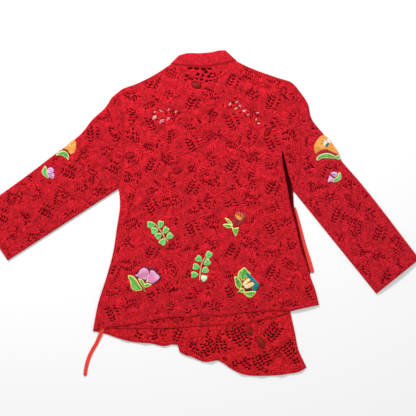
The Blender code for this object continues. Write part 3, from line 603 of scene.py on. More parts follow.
def smooth_loop(points, step):
    """The same for a closed outline, with no corner where it starts."""
    points = np.asarray(points, float)
    after = np.roll(points, -1, axis=0)
    slopes = (after - np.roll(points, 1, axis=0)) / 2
    parts = []
    for start, end, leaves, arrives in zip(points, after, slopes, np.roll(slopes, -1, axis=0)):
        t = np.arange(0, 1, 1 / max(1, round(np.linalg.norm(end - start) / step)))[:, None]
        parts.append(
            (2 * t**3 - 3 * t**2 + 1) * start + (t**3 - 2 * t**2 + t) * leaves
            + (3 * t**2 - 2 * t**3) * end + (t**3 - t**2) * arrives
        )
    return np.vstack(parts)


def crease_height(points, creases):
    """What creases add: each is a soft ridge or trough that dies away at both ends."""
    total = np.zeros(len(points))
    for x0, down0, x1, down1, half_width, height in creases:
        start = np.array((x0, -down0), float)
        run = np.array((x1, -down1)) - start
        length = np.linalg.norm(run)
        away = points - start
        along = np.clip(away @ run / length**2, 0, 1)
        across = np.clip(np.abs(away @ np.array((-run[1], run[0]))) / length / half_width, 0, 1)
        total += height * np.sin(math.pi * along) ** CREASE_END * (1 + np.cos(math.pi * across)) / 2
    return total


def crumple(points, height, seed):
    """Small soft waves, as cloth that has been worn has, up to about a height."""
    waves = np.random.default_rng(seed)
    total = np.zeros(len(points))
    for _ in range(CRUMPLE_WAVES):
        length = waves.uniform(*CRUMPLE_LENGTHS)
        lean, shift = waves.uniform(0, 2 * math.pi, 2)
        bend = 6 * np.sin(points @ (math.sin(lean), -math.cos(lean)) / length * 2.3 + shift)
        along = points @ (math.cos(lean), math.sin(lean)) + bend
        total += np.sin(along / length * 2 * math.pi + shift) * length
    return total * height / (CRUMPLE_LENGTHS[1] * CRUMPLE_WAVES**0.5)


class Relief:
    """The height of some faces at plan points."""

    def __init__(self, points, faces):
        self.tree = BVHTree.FromPolygons([Vector(p) for p in points], faces.tolist())
        self.middle_height = float(points[:, 2].mean())

    def height(self, points):
        result = []
        for x, y in points:
            hit = self.tree.ray_cast(Vector((x, y, 50)), Vector((0, 0, -1)))[0]
            if hit is None:
                hit = self.tree.find_nearest(Vector((x, y, self.middle_height)))[0]
            result.append(hit.z)
        return np.array(result)


class Panel:
    """One panel of lace: what its node of the frame gives it, then its openwork and its finished cloth."""

    def __init__(self, node):
        self.node = node
        self.finish, self.slot, self.lies_on = PANELS[node]
        self.on_top = node == "back" or node.endswith("upper")
        self.below = [other for other in PANELS if node in ABOVE.get(other, ())]
        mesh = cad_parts[node].data
        points = np.empty(len(mesh.vertices) * 3)
        mesh.vertices.foreach_get("co", points)
        points = points.reshape(-1, 3) / MM - OFFSET
        mesh.calc_loop_triangles()
        faces = np.empty(len(mesh.loop_triangles) * 3, int)
        mesh.loop_triangles.foreach_get("vertices", faces)
        points, first = np.unique(np.round(points, 2), axis=0, return_inverse=True)
        faces = first.reshape(-1)[faces].reshape(-1, 3)
        a, b, c = (points[faces[:, k]] for k in range(3))
        normal = np.cross(b - a, c - a)
        top = faces[normal[:, 2] > 0.5 * np.linalg.norm(normal, axis=1)]
        self.relief = Relief(points, top)
        loops = [points[loop][:, :2] for loop in border_loops(top)]
        loops.sort(key=lambda loop: -abs(area_of(loop)))
        self.outline = fine_outline(anticlockwise(loops[0]))
        self.gaps = loops[1:]
        self.edge = rerouted(self.outline, plan(DETOURS[node])) if node in DETOURS else self.outline
        self.work = Openwork(self.edge, [node_outline(row[1]) for row in FLOWERS if row[2] == node])
        self.ovals = []


def rerouted(outline, way):
    """An outline that is led along other points between the ends of a run."""
    start, end = (int(np.argmin(np.linalg.norm(outline - point, axis=1))) for point in (way[0], way[-1]))
    kept = np.roll(outline, -end, axis=0)[:(start - end) % len(outline) + 1]
    return np.vstack((kept, way))


def border_loops(faces):
    """Closed chains of vertices round some triangles."""
    edges = {(a, b) for f in faces.tolist() for a, b in ((f[0], f[1]), (f[1], f[2]), (f[2], f[0]))}
    after = {a: b for a, b in sorted(edges) if (b, a) not in edges}
    loops = []
    while after:
        start, at = after.popitem()
        loop = [start]
        while at != start:
            loop.append(at)
            at = after.pop(at)
        loops.append(loop)
    return loops


def fine_outline(loop):
    """An outline with smooth curves between its corners."""
    ahead, behind = np.roll(loop, -1, axis=0) - loop, loop - np.roll(loop, 1, axis=0)
    turn = np.degrees(np.abs(np.arctan2(
        behind[:, 0] * ahead[:, 1] - behind[:, 1] * ahead[:, 0], (behind * ahead).sum(1)
    )))
    corners = np.flatnonzero(turn > CORNER_TURN)
    paths = []
    for start, end in zip(corners, np.roll(corners, -1)):
        steps = np.arange(start, end + 1 if end > start else end + len(loop) + 1) % len(loop)
        paths.append(smooth_path(loop[steps], EDGE_STEP)[:-1])
    return np.vstack(paths)


def dash(length, width):
    """A narrow hole with pointed ends."""
    return np.array(DASH) * (length, width)


def oval(length, width, count=16):
    angles = np.arange(count) * 2 * math.pi / count
    return np.stack((np.cos(angles) * length, np.sin(angles) * width), 1) / 2


class Openwork:
    """The holes of one piece of lace. Each is kept only where it clears the rest."""

    def __init__(self, outline, keep_clear):
        self.outline = outline
        self.keep_clear = keep_clear
        self.holes = []
        self.spots = np.zeros((0, 3))

    def add(self, rows, shape=dash, clearance=HOLE_CLEARANCE, clear_of_edge=CLEAR_OF_EDGE):
        """Cuts holes, given as (x, y, turn, length, width)."""
        rows = np.asarray(rows, float).reshape(-1, 5)
        rows = rows[inside(rows[:, :2], self.outline)]
        rows = rows[distance_to(rows[:, :2], closed(self.outline)) > clear_of_edge + rows[:, 3] * 0.3]
        for block in self.keep_clear:
            clear = distance_to(rows[:, :2], closed(block)) > CLEAR_OF_EMBROIDERY + rows[:, 3] * 0.4
            rows = rows[clear & ~inside(rows[:, :2], block)]
        kept = []
        for x, y, turn, length, width in rows:
            reach = max(0.0, length / 2 - width / 2)
            spots = np.array([(x, y)] * 3) + turned(((-reach, 0), (0, 0), (reach, 0)), turn)
            if len(self.spots):
                away = np.linalg.norm(spots[:, None] - self.spots[None, :, :2], axis=2) - self.spots[:, 2]
                if away.min() < width / 2 + clearance:
                    continue
            self.holes.append(turned(shape(length, width), turn) + (x, y))
            self.spots = np.vstack((self.spots, np.column_stack((spots, np.full(3, width / 2)))))
            kept.append((x, y, turn, length, width))
        return kept


def leaf_rows(middle, turn, columns, rows, size, pitch, taper, bend, uneven):
    """A zigzag band of slanted holes beside a leaf's veins, bent a little and smaller to its two ends."""
    holes = []
    for column in range(columns):
        side = 1 if column % 2 else -1
        for row in range(rows):
            step = row - (rows - 1) / 2
            scale = 1 - taper * (abs(step) / max(1, rows / 2)) ** 2
            lean = math.radians(bend * step)
            at = turned([((column - (columns - 1) / 2) * pitch[0] * scale, 0.0)], bend * step)[0]
            at = at + (-step * pitch[1] * math.sin(lean / 2), step * pitch[1] * math.cos(lean / 2))
            at = at + random.uniform(-1, 1, 2) * uneven
            x, y = turned([at], turn)[0] + middle
            angle = turn + bend * step + side * (SLANT + random.uniform(-9, 9) * uneven)
            longer = 1 + random.uniform(-0.22, 0.18) * uneven
            holes.append((x, y, angle, size[0] * scale * longer, size[1] * (0.6 + 0.4 * scale)))
    return holes


def repeats(outline, first):
    """The middle and turn of each repeat of the lace, and which way its leaf leans."""
    x, down, turn = first
    start = (x, -down)
    reach = np.linalg.norm(outline.max(0) - outline.min(0))
    across, along = int(reach / REPEAT_ACROSS) + 1, int(reach / REPEAT_DOWN) + 1
    low, high = outline.min(0) - REPEAT_DOWN, outline.max(0) + REPEAT_DOWN
    for i in range(-across, across + 1):
        for j in range(-along, along + 1):
            middle = turned((i * REPEAT_ACROSS, -j * REPEAT_DOWN - REPEAT_DOWN / 2 * (i % 2)), turn) + start
            if (middle > low).all() and (middle < high).all():
                yield middle, turn, 1 if (i + j) % 2 else -1


def cut_gaps(work, gaps, size):
    """Cuts the frame's own gaps, as dashes."""
    rows = []
    for gap in gaps:
        middle = gap.mean(0)
        far = gap[np.argmax(np.linalg.norm(gap - middle, axis=1))] - middle
        rows.append((*middle, math.degrees(math.atan2(far[1], far[0])), *size))
    work.add(rows, clearance=0.6, clear_of_edge=1.0)


def fill_with_dashes(work, first, dense):
    """Adds each repeat's smaller dashes: more rows on its leaf, then the bands between the leaves."""
    for middle, turn, way in repeats(work.outline, first):
        leaf = turn + way * LEAF_TURN
        rows = leaf_rows(middle, leaf, 2, 5, DASH_SIZE, LEAF_PITCH, 0.3, 0, 0.3)
        beside = middle + turned([(19, 3)], leaf)[0]
        rows += leaf_rows(beside, leaf, 1, 4, DASH_SIZE, LEAF_PITCH, 0.3, 6, 0.6)
        work.add(rows)
        for across, down, lean, columns, count in PATCHES if dense else PATCHES[:3]:
            at = turned((across, -down), turn) + middle + random.uniform(-6, 6, 2)
            lean = turn + way * lean + random.uniform(-16, 16)
            size = np.array(DASH_SIZE) * random.uniform(0.8, 1.05)
            bend = random.uniform(-9, 9)
            rows = leaf_rows(at, lean, columns, count, size, PATCH_PITCH, 0.35, bend, 0.7)
            work.add([row for row in rows if random.random() > 0.1])


def triangulated(outline, holes, extra):
    """Plan points and triangles of a panel with its holes cut out."""
    coords, loops = [], []
    for loop in [outline, *holes]:
        loops.append(list(range(len(coords), len(coords) + len(loop))))
        coords += [Vector(point) for point in anticlockwise(loop)]
    coords += [Vector(point) for point in extra]
    points, _, faces, _, _, sources = delaunay_2d_cdt(coords, [], loops, 0, 1e-5)
    points = np.array([tuple(p) for p in points])
    faces = np.array([face for face, source in zip(faces, sources) if list(source) == [0]])
    a, b, c = (points[faces[:, k]] for k in range(3))
    flipped = (b - a)[:, 0] * (c - a)[:, 1] - (b - a)[:, 1] * (c - a)[:, 0] < 0
    faces[flipped] = faces[flipped][:, ::-1]
    used, first = np.unique(faces, return_inverse=True)
    return points[used], first.reshape(-1, 3)


def spread_points(outline, holes, step, clear):
    """An even spread of points inside an outline that stays clear of its holes."""
    low, high = outline.min(0), outline.max(0)
    rows = []
    for j, y in enumerate(np.arange(low[1], high[1], step * 0.87)):
        xs = np.arange(low[0] + step / 2 * (j % 2), high[0], step)
        rows.append(np.stack((xs, np.full(len(xs), y)), 1))
    points = np.vstack(rows)
    points = points[inside(points, outline)]
    points = points[distance_to(points, closed(outline)) > clear]
    if not holes:
        return points
    edges = np.vstack([(closed(hole)[1:] + hole) / 2 for hole in holes] + list(holes))
    tree = KDTree(len(edges))
    for k, (x, y) in enumerate(edges):
        tree.insert((x, y, 0), k)
    tree.balance()
    away = np.array([tree.find((x, y, 0))[2] for x, y in points])
    points = points[away > clear]
    middles = np.array([hole.mean(0) for hole in holes])
    sizes = np.array([np.ptp(hole, axis=0).max() for hole in holes])
    for middle, size, hole in zip(middles, sizes, holes):
        if size > 2 * clear:
            near = np.flatnonzero(np.abs(points - middle).max(1) < size)
            covered = near[inside(points[near], hole)]
            points = np.delete(points, covered, axis=0)
    return points


def neighbours(faces):
    """Each pair of vertices that share an edge, once."""
    edges = np.vstack((faces[:, :2], faces[:, 1:], faces[:, ::2]))
    return np.unique(np.sort(edges, axis=1), axis=0)


def smoothed(height, faces, fixed, passes):
    """Heights evened out over the cloth, with its outline held."""
    a, b = neighbours(faces).T
    count = np.bincount(a, minlength=len(height)) + np.bincount(b, minlength=len(height))
    for _ in range(passes):
        total = np.bincount(a, height[b], len(height)) + np.bincount(b, height[a], len(height))
        height = np.where(fixed, height, (height + total / count) / 2)
    return height


def new_mesh(name, points, faces, finish, attributes=None):
    """A plain mesh object in the frame's place, smooth, with a number on each vertex for each attribute."""
    mesh = bpy.data.meshes.new(name)
    mesh.from_pydata(to_frame(points).tolist(), [], [list(map(int, face)) for face in faces])
    mesh.materials.append(finish)
    for key, values in (attributes or {}).items():
        layer = mesh.attributes.new(key, "FLOAT", "POINT")
        layer.data.foreach_set("value", np.asarray(values, np.float32))
    mesh.shade_smooth()
    mesh.validate()
    thing = bpy.data.objects.new(name, mesh)
    bpy.context.scene.collection.objects.link(thing)
    return thing


def wall_points(points, lower, upper):
    """A wall's lower points, then its upper ones in the same order."""
    return np.vstack((np.column_stack((points, lower)), np.column_stack((points, upper))))


def wall_faces(faces, count):
    """Faces of a closed wall through such points."""
    edges = np.vstack((faces[:, (0, 1)], faces[:, (1, 2)], faces[:, (2, 0)]))
    keys = edges[:, 0] * count + edges[:, 1]
    back_keys = edges[:, 1] * count + edges[:, 0]
    a, b = edges[~np.isin(keys, back_keys)].T
    sides = np.vstack((np.stack((a, b, b + count), 1), np.stack((a, b + count, a + count), 1)))
    return np.vstack((faces + count, faces[:, ::-1], sides))


def lay_cloth(panel, panels):
    """Makes a panel's cloth with its holes, on its relief and clear of the cloth below it, with painted shade
    where a layer above or the slit covers it.
    """
    extra = spread_points(panel.edge, panel.work.holes, CLOTH_STEP, CLEAR_OF_HOLE)
    points, faces = triangulated(panel.edge, panel.work.holes, extra)
    edge = distance_to(points, closed(panel.edge))
    top = smoothed(panel.relief.height(points), faces, edge < 0.5, SMOOTHING) - SINK
    # covered: how far each point lies under a layer above or in the slit. It flattens the creases there, and
    # the finish paints shade by it.
    covered = np.zeros(len(points))
    shades = [panels[other].outline for other in ABOVE.get(panel.node, ())]
    if panel.node.startswith("front"):
        shades.append(plan(SLIT_SHADE))
    for outline in shades:
        depth = distance_to(points, closed(outline)) * np.where(inside(points, outline), 1, -1)
        covered = np.maximum(covered, np.clip((depth + 1) / SHADE_DEPTH, 0, 1))
    relief = crease_height(points, CREASES.get(panel.node, ())) * CREASE_SCALE
    relief += crumple(points, CRUMPLES.get(panel.node, 0), len(panel.node))
    top = np.maximum(top + relief * np.clip(edge / RELIEF_MARGIN, 0, 1) * (1 - covered), THICKNESS)
    for other in panel.below:
        over = inside(points, panels[other].outline)
        floor = np.full(len(points), -1.0)
        floor[over] = panels[other].top.height(points[over])
        top = np.maximum(top, floor + THICKNESS + LAYER_GAP)
    lower = np.maximum(top - THICKNESS, 0)
    vertices = wall_points(points, lower, top)
    attributes = {"covered": np.concatenate((np.zeros(len(points)), covered))}
    panel.thing = new_mesh(
        f"lace_{panel.node}", vertices, wall_faces(faces, len(points)), FINISHES[panel.finish], attributes)
    panel.top = Relief(vertices[len(points):], faces)


class Number:
    """A number in a material. Sums and products of it add the nodes that work them out."""

    def __init__(self, tree, socket):
        self.tree, self.socket = tree, socket

    def worked(self, operation, *others):
        node = self.tree.nodes.new("ShaderNodeMath")
        node.operation = operation
        for socket, value in zip(node.inputs, (self, *others)):
            if isinstance(value, Number):
                self.tree.links.new(value.socket, socket)
            else:
                socket.default_value = value
        return Number(self.tree, node.outputs[0])

    def __add__(self, other):
        return self.worked("ADD", other)

    __radd__ = __add__

    def __sub__(self, other):
        return self.worked("SUBTRACT", other)

    def __rsub__(self, other):
        return self.worked("MULTIPLY", -1).worked("ADD", other)

    def __mul__(self, other):
        return self.worked("MULTIPLY", other)

    __rmul__ = __mul__

    def sin(self):
        return self.worked("SINE")

    def cos(self):
        return self.worked("COSINE")

    def abs(self):
        return self.worked("ABSOLUTE")

    def above(self, other):
        return self.worked("GREATER_THAN", other)

    def at_most(self, other):
        return self.worked("MINIMUM", other)

    def at_least(self, other):
        return self.worked("MAXIMUM", other)

    def soft_step(self, low, high):
        """From 0 at low to 1 at high, smoothly."""
        node = self.tree.nodes.new("ShaderNodeMapRange")
        node.interpolation_type = "SMOOTHSTEP"
        self.tree.links.new(self.socket, node.inputs["Value"])
        node.inputs["From Min"].default_value = low
        node.inputs["From Max"].default_value = high
        return Number(self.tree, node.outputs[0])


class Finish:
    """One material, with the nodes that it is made of."""

    def __init__(self, name, roughness, specular, sheen=0.0):
        self.material = bpy.data.materials.new(name)
        self.material.use_nodes = True
        self.tree = self.material.node_tree
        self.surface = self.tree.nodes["Principled BSDF"]
        self.surface.inputs["Roughness"].default_value = roughness
        self.surface.inputs["Sheen Weight"].default_value = sheen
        self.surface.inputs["Sheen Roughness"].default_value = 0.5
        self.surface.inputs["Specular IOR Level"].default_value = specular

    def node(self, kind, settings=None, inputs=None):
        """A node of a type, with its settings, then its sockets' values or links by identifier or name."""
        made = self.tree.nodes.new(kind)
        for key, value in (settings or {}).items():
            setattr(made, key, value)
        for key, value in (inputs or {}).items():
            socket = next((s for s in made.inputs if s.identifier == key), None) or made.inputs[key]
            if isinstance(value, Number):
                self.tree.links.new(value.socket, socket)
            elif isinstance(value, bpy.types.NodeSocket):
                self.tree.links.new(value, socket)
            else:
                socket.default_value = value
        return made

    def number(self, socket):
        return Number(self.tree, socket)

    def place(self, turn=0.0):
        """Object coordinates in millimetres, level, turned with the cloth's grain."""
        at = self.node("ShaderNodeTexCoord").outputs["Object"]
        scaled = self.node("ShaderNodeMapping", None, {
            "Vector": at, "Rotation": (0, 0, math.radians(turn)), "Scale": (1 / MM, 1 / MM, 0),
        })
        return scaled.outputs["Vector"]

    def noise(self, at, size, detail, roughness=0.5):
        """Noise of about a size in millimetres, from 0 to 1."""
        made = self.node("ShaderNodeTexNoise", None, {
            "Vector": at, "Scale": 1 / size, "Detail": detail, "Roughness": roughness,
        })
        return self.number(made.outputs["Fac"])

    def vector(self, operation, a, b):
        made = self.node("ShaderNodeVectorMath", {"operation": operation}, {"Vector": a, "Vector_001": b})
        return made.outputs["Vector"]

    def mixed(self, factor, first, second):
        """A colour between two, which are colours or links."""
        inputs = {"Factor_Float": factor}
        for key, colour in (("A_Color", first), ("B_Color", second)):
            inputs[key] = (*colour, 1) if isinstance(colour, tuple) else colour
        made = self.node("ShaderNodeMix", {"data_type": "RGBA"}, inputs)
        return next(s for s in made.outputs if s.identifier == "Result_Color")

    def attribute(self, name):
        return self.number(self.node("ShaderNodeAttribute", {"attribute_name": name}).outputs["Fac"])

    def done(self, colour, height, bump, distance):
        """The finished material, with its colour and the relief of its threads."""
        made = self.node("ShaderNodeBump", None, {"Height": height, "Strength": bump, "Distance": distance})
        self.tree.links.new(colour, self.surface.inputs["Base Color"])
        self.tree.links.new(made.outputs["Normal"], self.surface.inputs["Normal"])
        return self.material


def linear(*colour):
    """A linear colour from one on the usual 0 to 255 scale."""
    return tuple(((c / 255 + 0.055) / 1.055) ** 2.4 if c > 10 else c / 255 / 12.92 for c in colour)


def lace_finish(name, turn, dark, light, motif, painted_light_strength):
    """Corded lace: cells of petals and veined leaves on a fine net. Its cords are lightened, as a painted
    highlight; its grooves, its pits and what lies under another layer are darkened, as painted shade.
    """
    finish = Finish(name, roughness=0.9, specular=0.01)
    dark, light = linear(*dark), linear(*light)
    at = finish.place(turn)
    bend = finish.node("ShaderNodeTexNoise", None, {"Vector": at, "Scale": 1 / 16, "Detail": 1.0})
    bend = finish.vector("SUBTRACT", bend.outputs["Color"], (0.5, 0.5, 0.5))
    at_bent = finish.node(
        "ShaderNodeVectorMath", {"operation": "MULTIPLY_ADD"},
        {"Vector": bend, "Vector_001": (26, 26, 0), "Vector_002": at},
    ).outputs["Vector"]
    cell = finish.node(
        "ShaderNodeTexVoronoi", {"voronoi_dimensions": "2D"}, {"Vector": at_bent, "Scale": 1 / motif})
    out = finish.vector("SUBTRACT", at_bent, cell.outputs["Position"])
    split = finish.node("ShaderNodeSeparateXYZ", None, {"Vector": out})
    x, y = finish.number(split.outputs["X"]), finish.number(split.outputs["Y"])
    chance = finish.node("ShaderNodeSeparateColor", None, {"Color": cell.outputs["Color"]})
    lean = finish.number(chance.outputs["Red"]) * (2 * math.pi)
    kind = finish.number(chance.outputs["Green"])
    along = x * lean.cos() + y * lean.sin()
    across = (y * lean.cos() - x * lean.sin()).abs()
    veins = ((along + across * 0.8) * (2 * math.pi / VEIN_PITCH)).sin()
    rings = (finish.number(cell.outputs["Distance"]) * (2 * math.pi * motif / RING_PITCH)).sin()
    wave = rings + (veins - rings) * kind.above(0.55)
    uneven = finish.noise(at, 8.0, 2.0)
    fleck = finish.noise(at, 2.8, 2.0, 0.7)
    fine = finish.noise(at, 1.2, 1.0)
    shown = finish.noise(at, 13.0, 1.0).soft_step(0.34, 0.56)
    # Painted shade: grooves are darkened as well as sunk; cords are lightened as well as raised, a painted
    # highlight.
    groove_with_shade = (wave + (fleck - 0.5)).soft_step(0.35, 1.0) * shown
    cord_with_highlight = (wave * -1 + (fleck - 0.5) * 0.8).soft_step(0.5, 1.0) * shown
    tone = (uneven - 0.5) * 0.9 + (fleck - 0.5) + (fine - 0.5) * 0.5 + 0.58 + cord_with_highlight * (0.3 * painted_light_strength)
    colour = finish.mixed(tone.at_least(0.0).at_most(1.0), dark, light)
    colour = finish.mixed(groove_with_shade * (0.8 * painted_light_strength), colour, tuple(c * 0.3 for c in dark))
    # Painted shade: pits are darkened as well as sunk.
    pit_with_shade = finish.noise(at, 4.2, 2.0, 0.6).soft_step(0.36, 0.27) * (1 - cord_with_highlight)
    colour = finish.mixed(pit_with_shade * (0.75 * painted_light_strength), colour, tuple(c * 0.12 for c in dark))
    # Painted shade: where another layer covers the cloth, its colour goes almost to black.
    covered = finish.attribute("covered")
    colour = finish.mixed(covered * 0.93, colour, linear(24, 0, 3))
    level = finish.node("ShaderNodeSeparateXYZ", None, {"Vector": at})
    threads = (
        (finish.number(level.outputs["X"]) * (2 * math.pi / WEAVE_PITCH)).sin()
        * (finish.number(level.outputs["Y"]) * (2 * math.pi / WEAVE_PITCH)).sin()
    )
    height = cord_with_highlight * 0.6 - groove_with_shade * 0.7 - pit_with_shade * 0.5 + fleck * 0.9 + uneven * 0.6 + threads * 0.12
    return finish.done(colour, height=height, bump=0.85, distance=0.0009)


def net_finish(name, colour, thread):
    """Plain net: a fine mesh of threads over dark openings."""
    finish = Finish(name, roughness=0.85, specular=0.03)
    colour, thread = linear(*colour), linear(*thread)
    at = finish.place(38)
    split = finish.node("ShaderNodeSeparateXYZ", None, {"Vector": at})
    x = (finish.number(split.outputs["X"]) * (math.pi / NET_PITCH)).sin().abs()
    y = (finish.number(split.outputs["Y"]) * (math.pi / NET_PITCH)).sin().abs()
    open_share = x.at_most(y).soft_step(0.3, 0.62)
    shade = finish.noise(at, 5.0, 2.0, 0.7).soft_step(0.35, 0.65)
    base = finish.mixed(shade, colour, tuple(c * 0.3 for c in colour))
    shade = finish.mixed(open_share, thread, base)
    return finish.done(shade, height=1 - open_share, bump=0.6, distance=0.0004)


def thread_finish(name, body, rim, mark, root, tip, rim_width, mark_share):
    """Satin stitch: threads that run out from a petal's middle, paler at its rim."""
    finish = Finish(name, roughness=0.5, sheen=0.03, specular=0.3)
    edge, along, across = (finish.attribute(key) for key in ("rim", "along", "across"))
    at = finish.place()
    fleck = finish.noise(at, 2.4, 2.0)
    body = colour = linear(*body)
    uneven = along + (fleck - 0.5) * 0.5
    if root:
        colour = finish.mixed(uneven.soft_step(0.36, 0.05), colour, linear(*root))
    if tip:
        colour = finish.mixed(uneven.soft_step(0.6, 0.9), colour, linear(*tip))
    inside_rim = edge.soft_step(rim_width + 0.4, rim_width + 1.6)
    flecks = finish.noise(at, 4.5, 1.0).soft_step(0.47, 0.62)
    vein = across.abs().soft_step(1.6, 0.5)
    colour = finish.mixed(inside_rim * flecks.at_least(vein) * mark_share, colour, linear(*mark))
    at_rim = (edge + (fleck - 0.5) * 1.2).soft_step(rim_width + 0.5, rim_width - 0.4)
    colour = finish.mixed(at_rim, colour, linear(*rim))
    stitches = ((across + along * 9.0) * (2 * math.pi / 0.8)).sin()
    shade = finish.mixed((stitches * 0.5 + 0.5) * 0.16, colour, tuple(c * 0.45 for c in body))
    return finish.done(shade, height=stitches * 0.5 + fleck * 0.4, bump=0.55, distance=0.00025)


def plain_thread(name, colour, dark_share):
    """A twisted thread or cord, with its ply."""
    finish = Finish(name, roughness=0.7, specular=0.15)
    colour = linear(*colour)
    at = finish.place(35)
    split = finish.node("ShaderNodeSeparateXYZ", None, {"Vector": at})
    ply = (finish.number(split.outputs["X"]) * (2 * math.pi / 0.9)).sin()
    fleck = finish.noise(at, 2.0, 2.0)
    dark = tuple(c * dark_share for c in colour)
    shade = finish.mixed((ply * 0.2 + fleck * 0.8).at_least(0.0), dark, colour)
    return finish.done(shade, height=ply * 0.5 + fleck * 0.5, bump=0.5, distance=0.0002)


def ribbon_finish(name):
    """Soft satin ribbon, a little creased, with firmer edges."""
    finish = Finish(name, roughness=0.45, sheen=0.03, specular=0.35)
    along, across = finish.attribute("along"), finish.attribute("across")
    at = finish.place()
    fleck = finish.noise(at, 5.0, 2.0)
    edge = across.abs().soft_step(0.8, 0.97)
    colour = finish.mixed(fleck, linear(222, 38, 28), linear(246, 66, 44))
    colour = finish.mixed(edge * 0.6, colour, linear(196, 24, 22))
    weave = (along * (2 * math.pi / 0.8)).sin()
    return finish.done(colour, height=weave * 0.3 + fleck * 1.2, bump=0.6, distance=0.0004)


def tree_group(name, sizes):
    """An empty Geometry Nodes tree with a geometry, some sizes and a finish as its inputs."""
    group = bpy.data.node_groups.new(name, "GeometryNodeTree")
    group.interface.new_socket("Geometry", in_out="INPUT", socket_type="NodeSocketGeometry")
    for key in sizes:
        group.interface.new_socket(key, in_out="INPUT", socket_type="NodeSocketFloat")
    group.interface.new_socket("Finish", in_out="INPUT", socket_type="NodeSocketMaterial")
    group.interface.new_socket("Geometry", in_out="OUTPUT", socket_type="NodeSocketGeometry")
    return group


def tree_node(group, kind, settings=None, inputs=None):
    made = group.nodes.new(kind)
    for key, value in (settings or {}).items():
        setattr(made, key, value)
    for key, value in (inputs or {}).items():
        if isinstance(value, bpy.types.NodeSocket):
            group.links.new(value, made.inputs[key])
        else:
            made.inputs[key].default_value = value
    return made


def finish_tree(group, geometry, start):
    """Ends a tree in Realize Instances and Set Material."""
    real = tree_node(group, "GeometryNodeRealizeInstances", None, {"Geometry": geometry})
    shown = tree_node(group, "GeometryNodeSetMaterial", None, {
        "Geometry": real.outputs["Geometry"], "Material": start.outputs["Finish"],
    })
    tree_node(group, "NodeGroupOutput", None, {"Geometry": shown.outputs["Geometry"]})


def cord_tree():
    """A raised cord along each path of edges."""
    group = tree_group("raised_cord", ("Radius",))
    start = group.nodes.new("NodeGroupInput")
    curve = tree_node(group, "GeometryNodeMeshToCurve", None, {"Mesh": start.outputs["Geometry"]})
    section = tree_node(group, "GeometryNodeCurvePrimitiveCircle", {"mode": "RADIUS"}, {
        "Resolution": 4, "Radius": start.outputs["Radius"],
    })
    tube = tree_node(group, "GeometryNodeCurveToMesh", None, {
        "Curve": curve.outputs["Curve"], "Profile Curve": section.outputs["Curve"], "Fill Caps": True,
    })
    finish_tree(group, tube.outputs["Mesh"], start)
    return group


def stitch_tree():
    """Short stitches one after another along each path of edges."""
    group = tree_group("row_of_stitches", ("Radius", "Pitch"))
    start = group.nodes.new("NodeGroupInput")
    curve = tree_node(group, "GeometryNodeMeshToCurve", None, {"Mesh": start.outputs["Geometry"]})
    spaced = tree_node(group, "GeometryNodeResampleCurve", {"mode": "LENGTH"}, {
        "Curve": curve.outputs["Curve"], "Length": start.outputs["Pitch"],
    })
    tangent = group.nodes.new("GeometryNodeInputTangent")
    way = tree_node(group, "FunctionNodeAlignEulerToVector", {"axis": "X"}, {
        "Vector": tangent.outputs["Tangent"],
    })
    stitch = tree_node(group, "GeometryNodeMeshUVSphere", None, {
        "Segments": 5, "Rings": 4, "Radius": start.outputs["Radius"],
    })
    row = tree_node(group, "GeometryNodeInstanceOnPoints", None, {
        "Points": spaced.outputs["Curve"], "Instance": stitch.outputs["Mesh"],
        "Rotation": way.outputs["Rotation"], "Scale": (3.0, 1.0, 0.8),
    })
    finish_tree(group, row.outputs["Instances"], start)
    return group


def grown(name, paths, group, finish, **sizes):
    """A plain mesh that a Geometry Nodes tree makes along some paths, in millimetres."""
    points, edges = [], []
    for path in paths:
        first = len(points)
        points += to_frame(path).tolist()
        edges += [(first + k, first + k + 1) for k in range(len(path) - 1)]
    mesh = bpy.data.meshes.new(name)
    mesh.from_pydata(points, edges, [])
    thing = bpy.data.objects.new(name, mesh)
    bpy.context.scene.collection.objects.link(thing)
    modifier = thing.modifiers.new("grown", "NODES")
    modifier.node_group = group
    values = {"Finish": finish, **{key.capitalize(): size * MM for key, size in sizes.items()}}
    for item in group.interface.items_tree:
        if item.in_out == "INPUT" and item.name in values:
            modifier[item.identifier] = values[item.name]
    shown = thing.evaluated_get(bpy.context.evaluated_depsgraph_get())
    result = bpy.data.meshes.new_from_object(shown)
    thing.modifiers.remove(modifier)
    thing.data = result
    bpy.data.meshes.remove(mesh)
    result.name = name
    result.shade_smooth()
    return thing


def joined(name, things):
    """One object from several, which all lie at the origin."""
    things = [thing for thing in things if len(thing.data.polygons)]
    with bpy.context.temp_override(
        active_object=things[0], selected_objects=things, selected_editable_objects=things, object=things[0]
    ):
        bpy.ops.object.join()
    things[0].name = name
    things[0].data.name = name
    return things[0]


def cut_into_runs(path, panel):
    """The parts of a plan path that lie on a panel's cloth and clear its holes and its embroidery."""
    keep = inside(path, panel.edge)
    keep &= distance_to(path, closed(panel.edge)) > CORD_CLEAR_OF_EDGE
    spots = panel.work.spots
    away = np.linalg.norm(path[:, None] - spots[None, :, :2], axis=2) - spots[:, 2]
    keep &= away.min(1) > CORD_CLEAR_OF_HOLE
    for block in panel.work.keep_clear:
        keep &= ~inside(path, block)
    runs, run = [], []
    for point, kept in zip(path, keep):
        if kept:
            run.append(point)
        elif run:
            runs.append(np.array(run))
            run = []
    if run:
        runs.append(np.array(run))
    return [run for run in runs if len(run) >= SHORTEST_CORD]


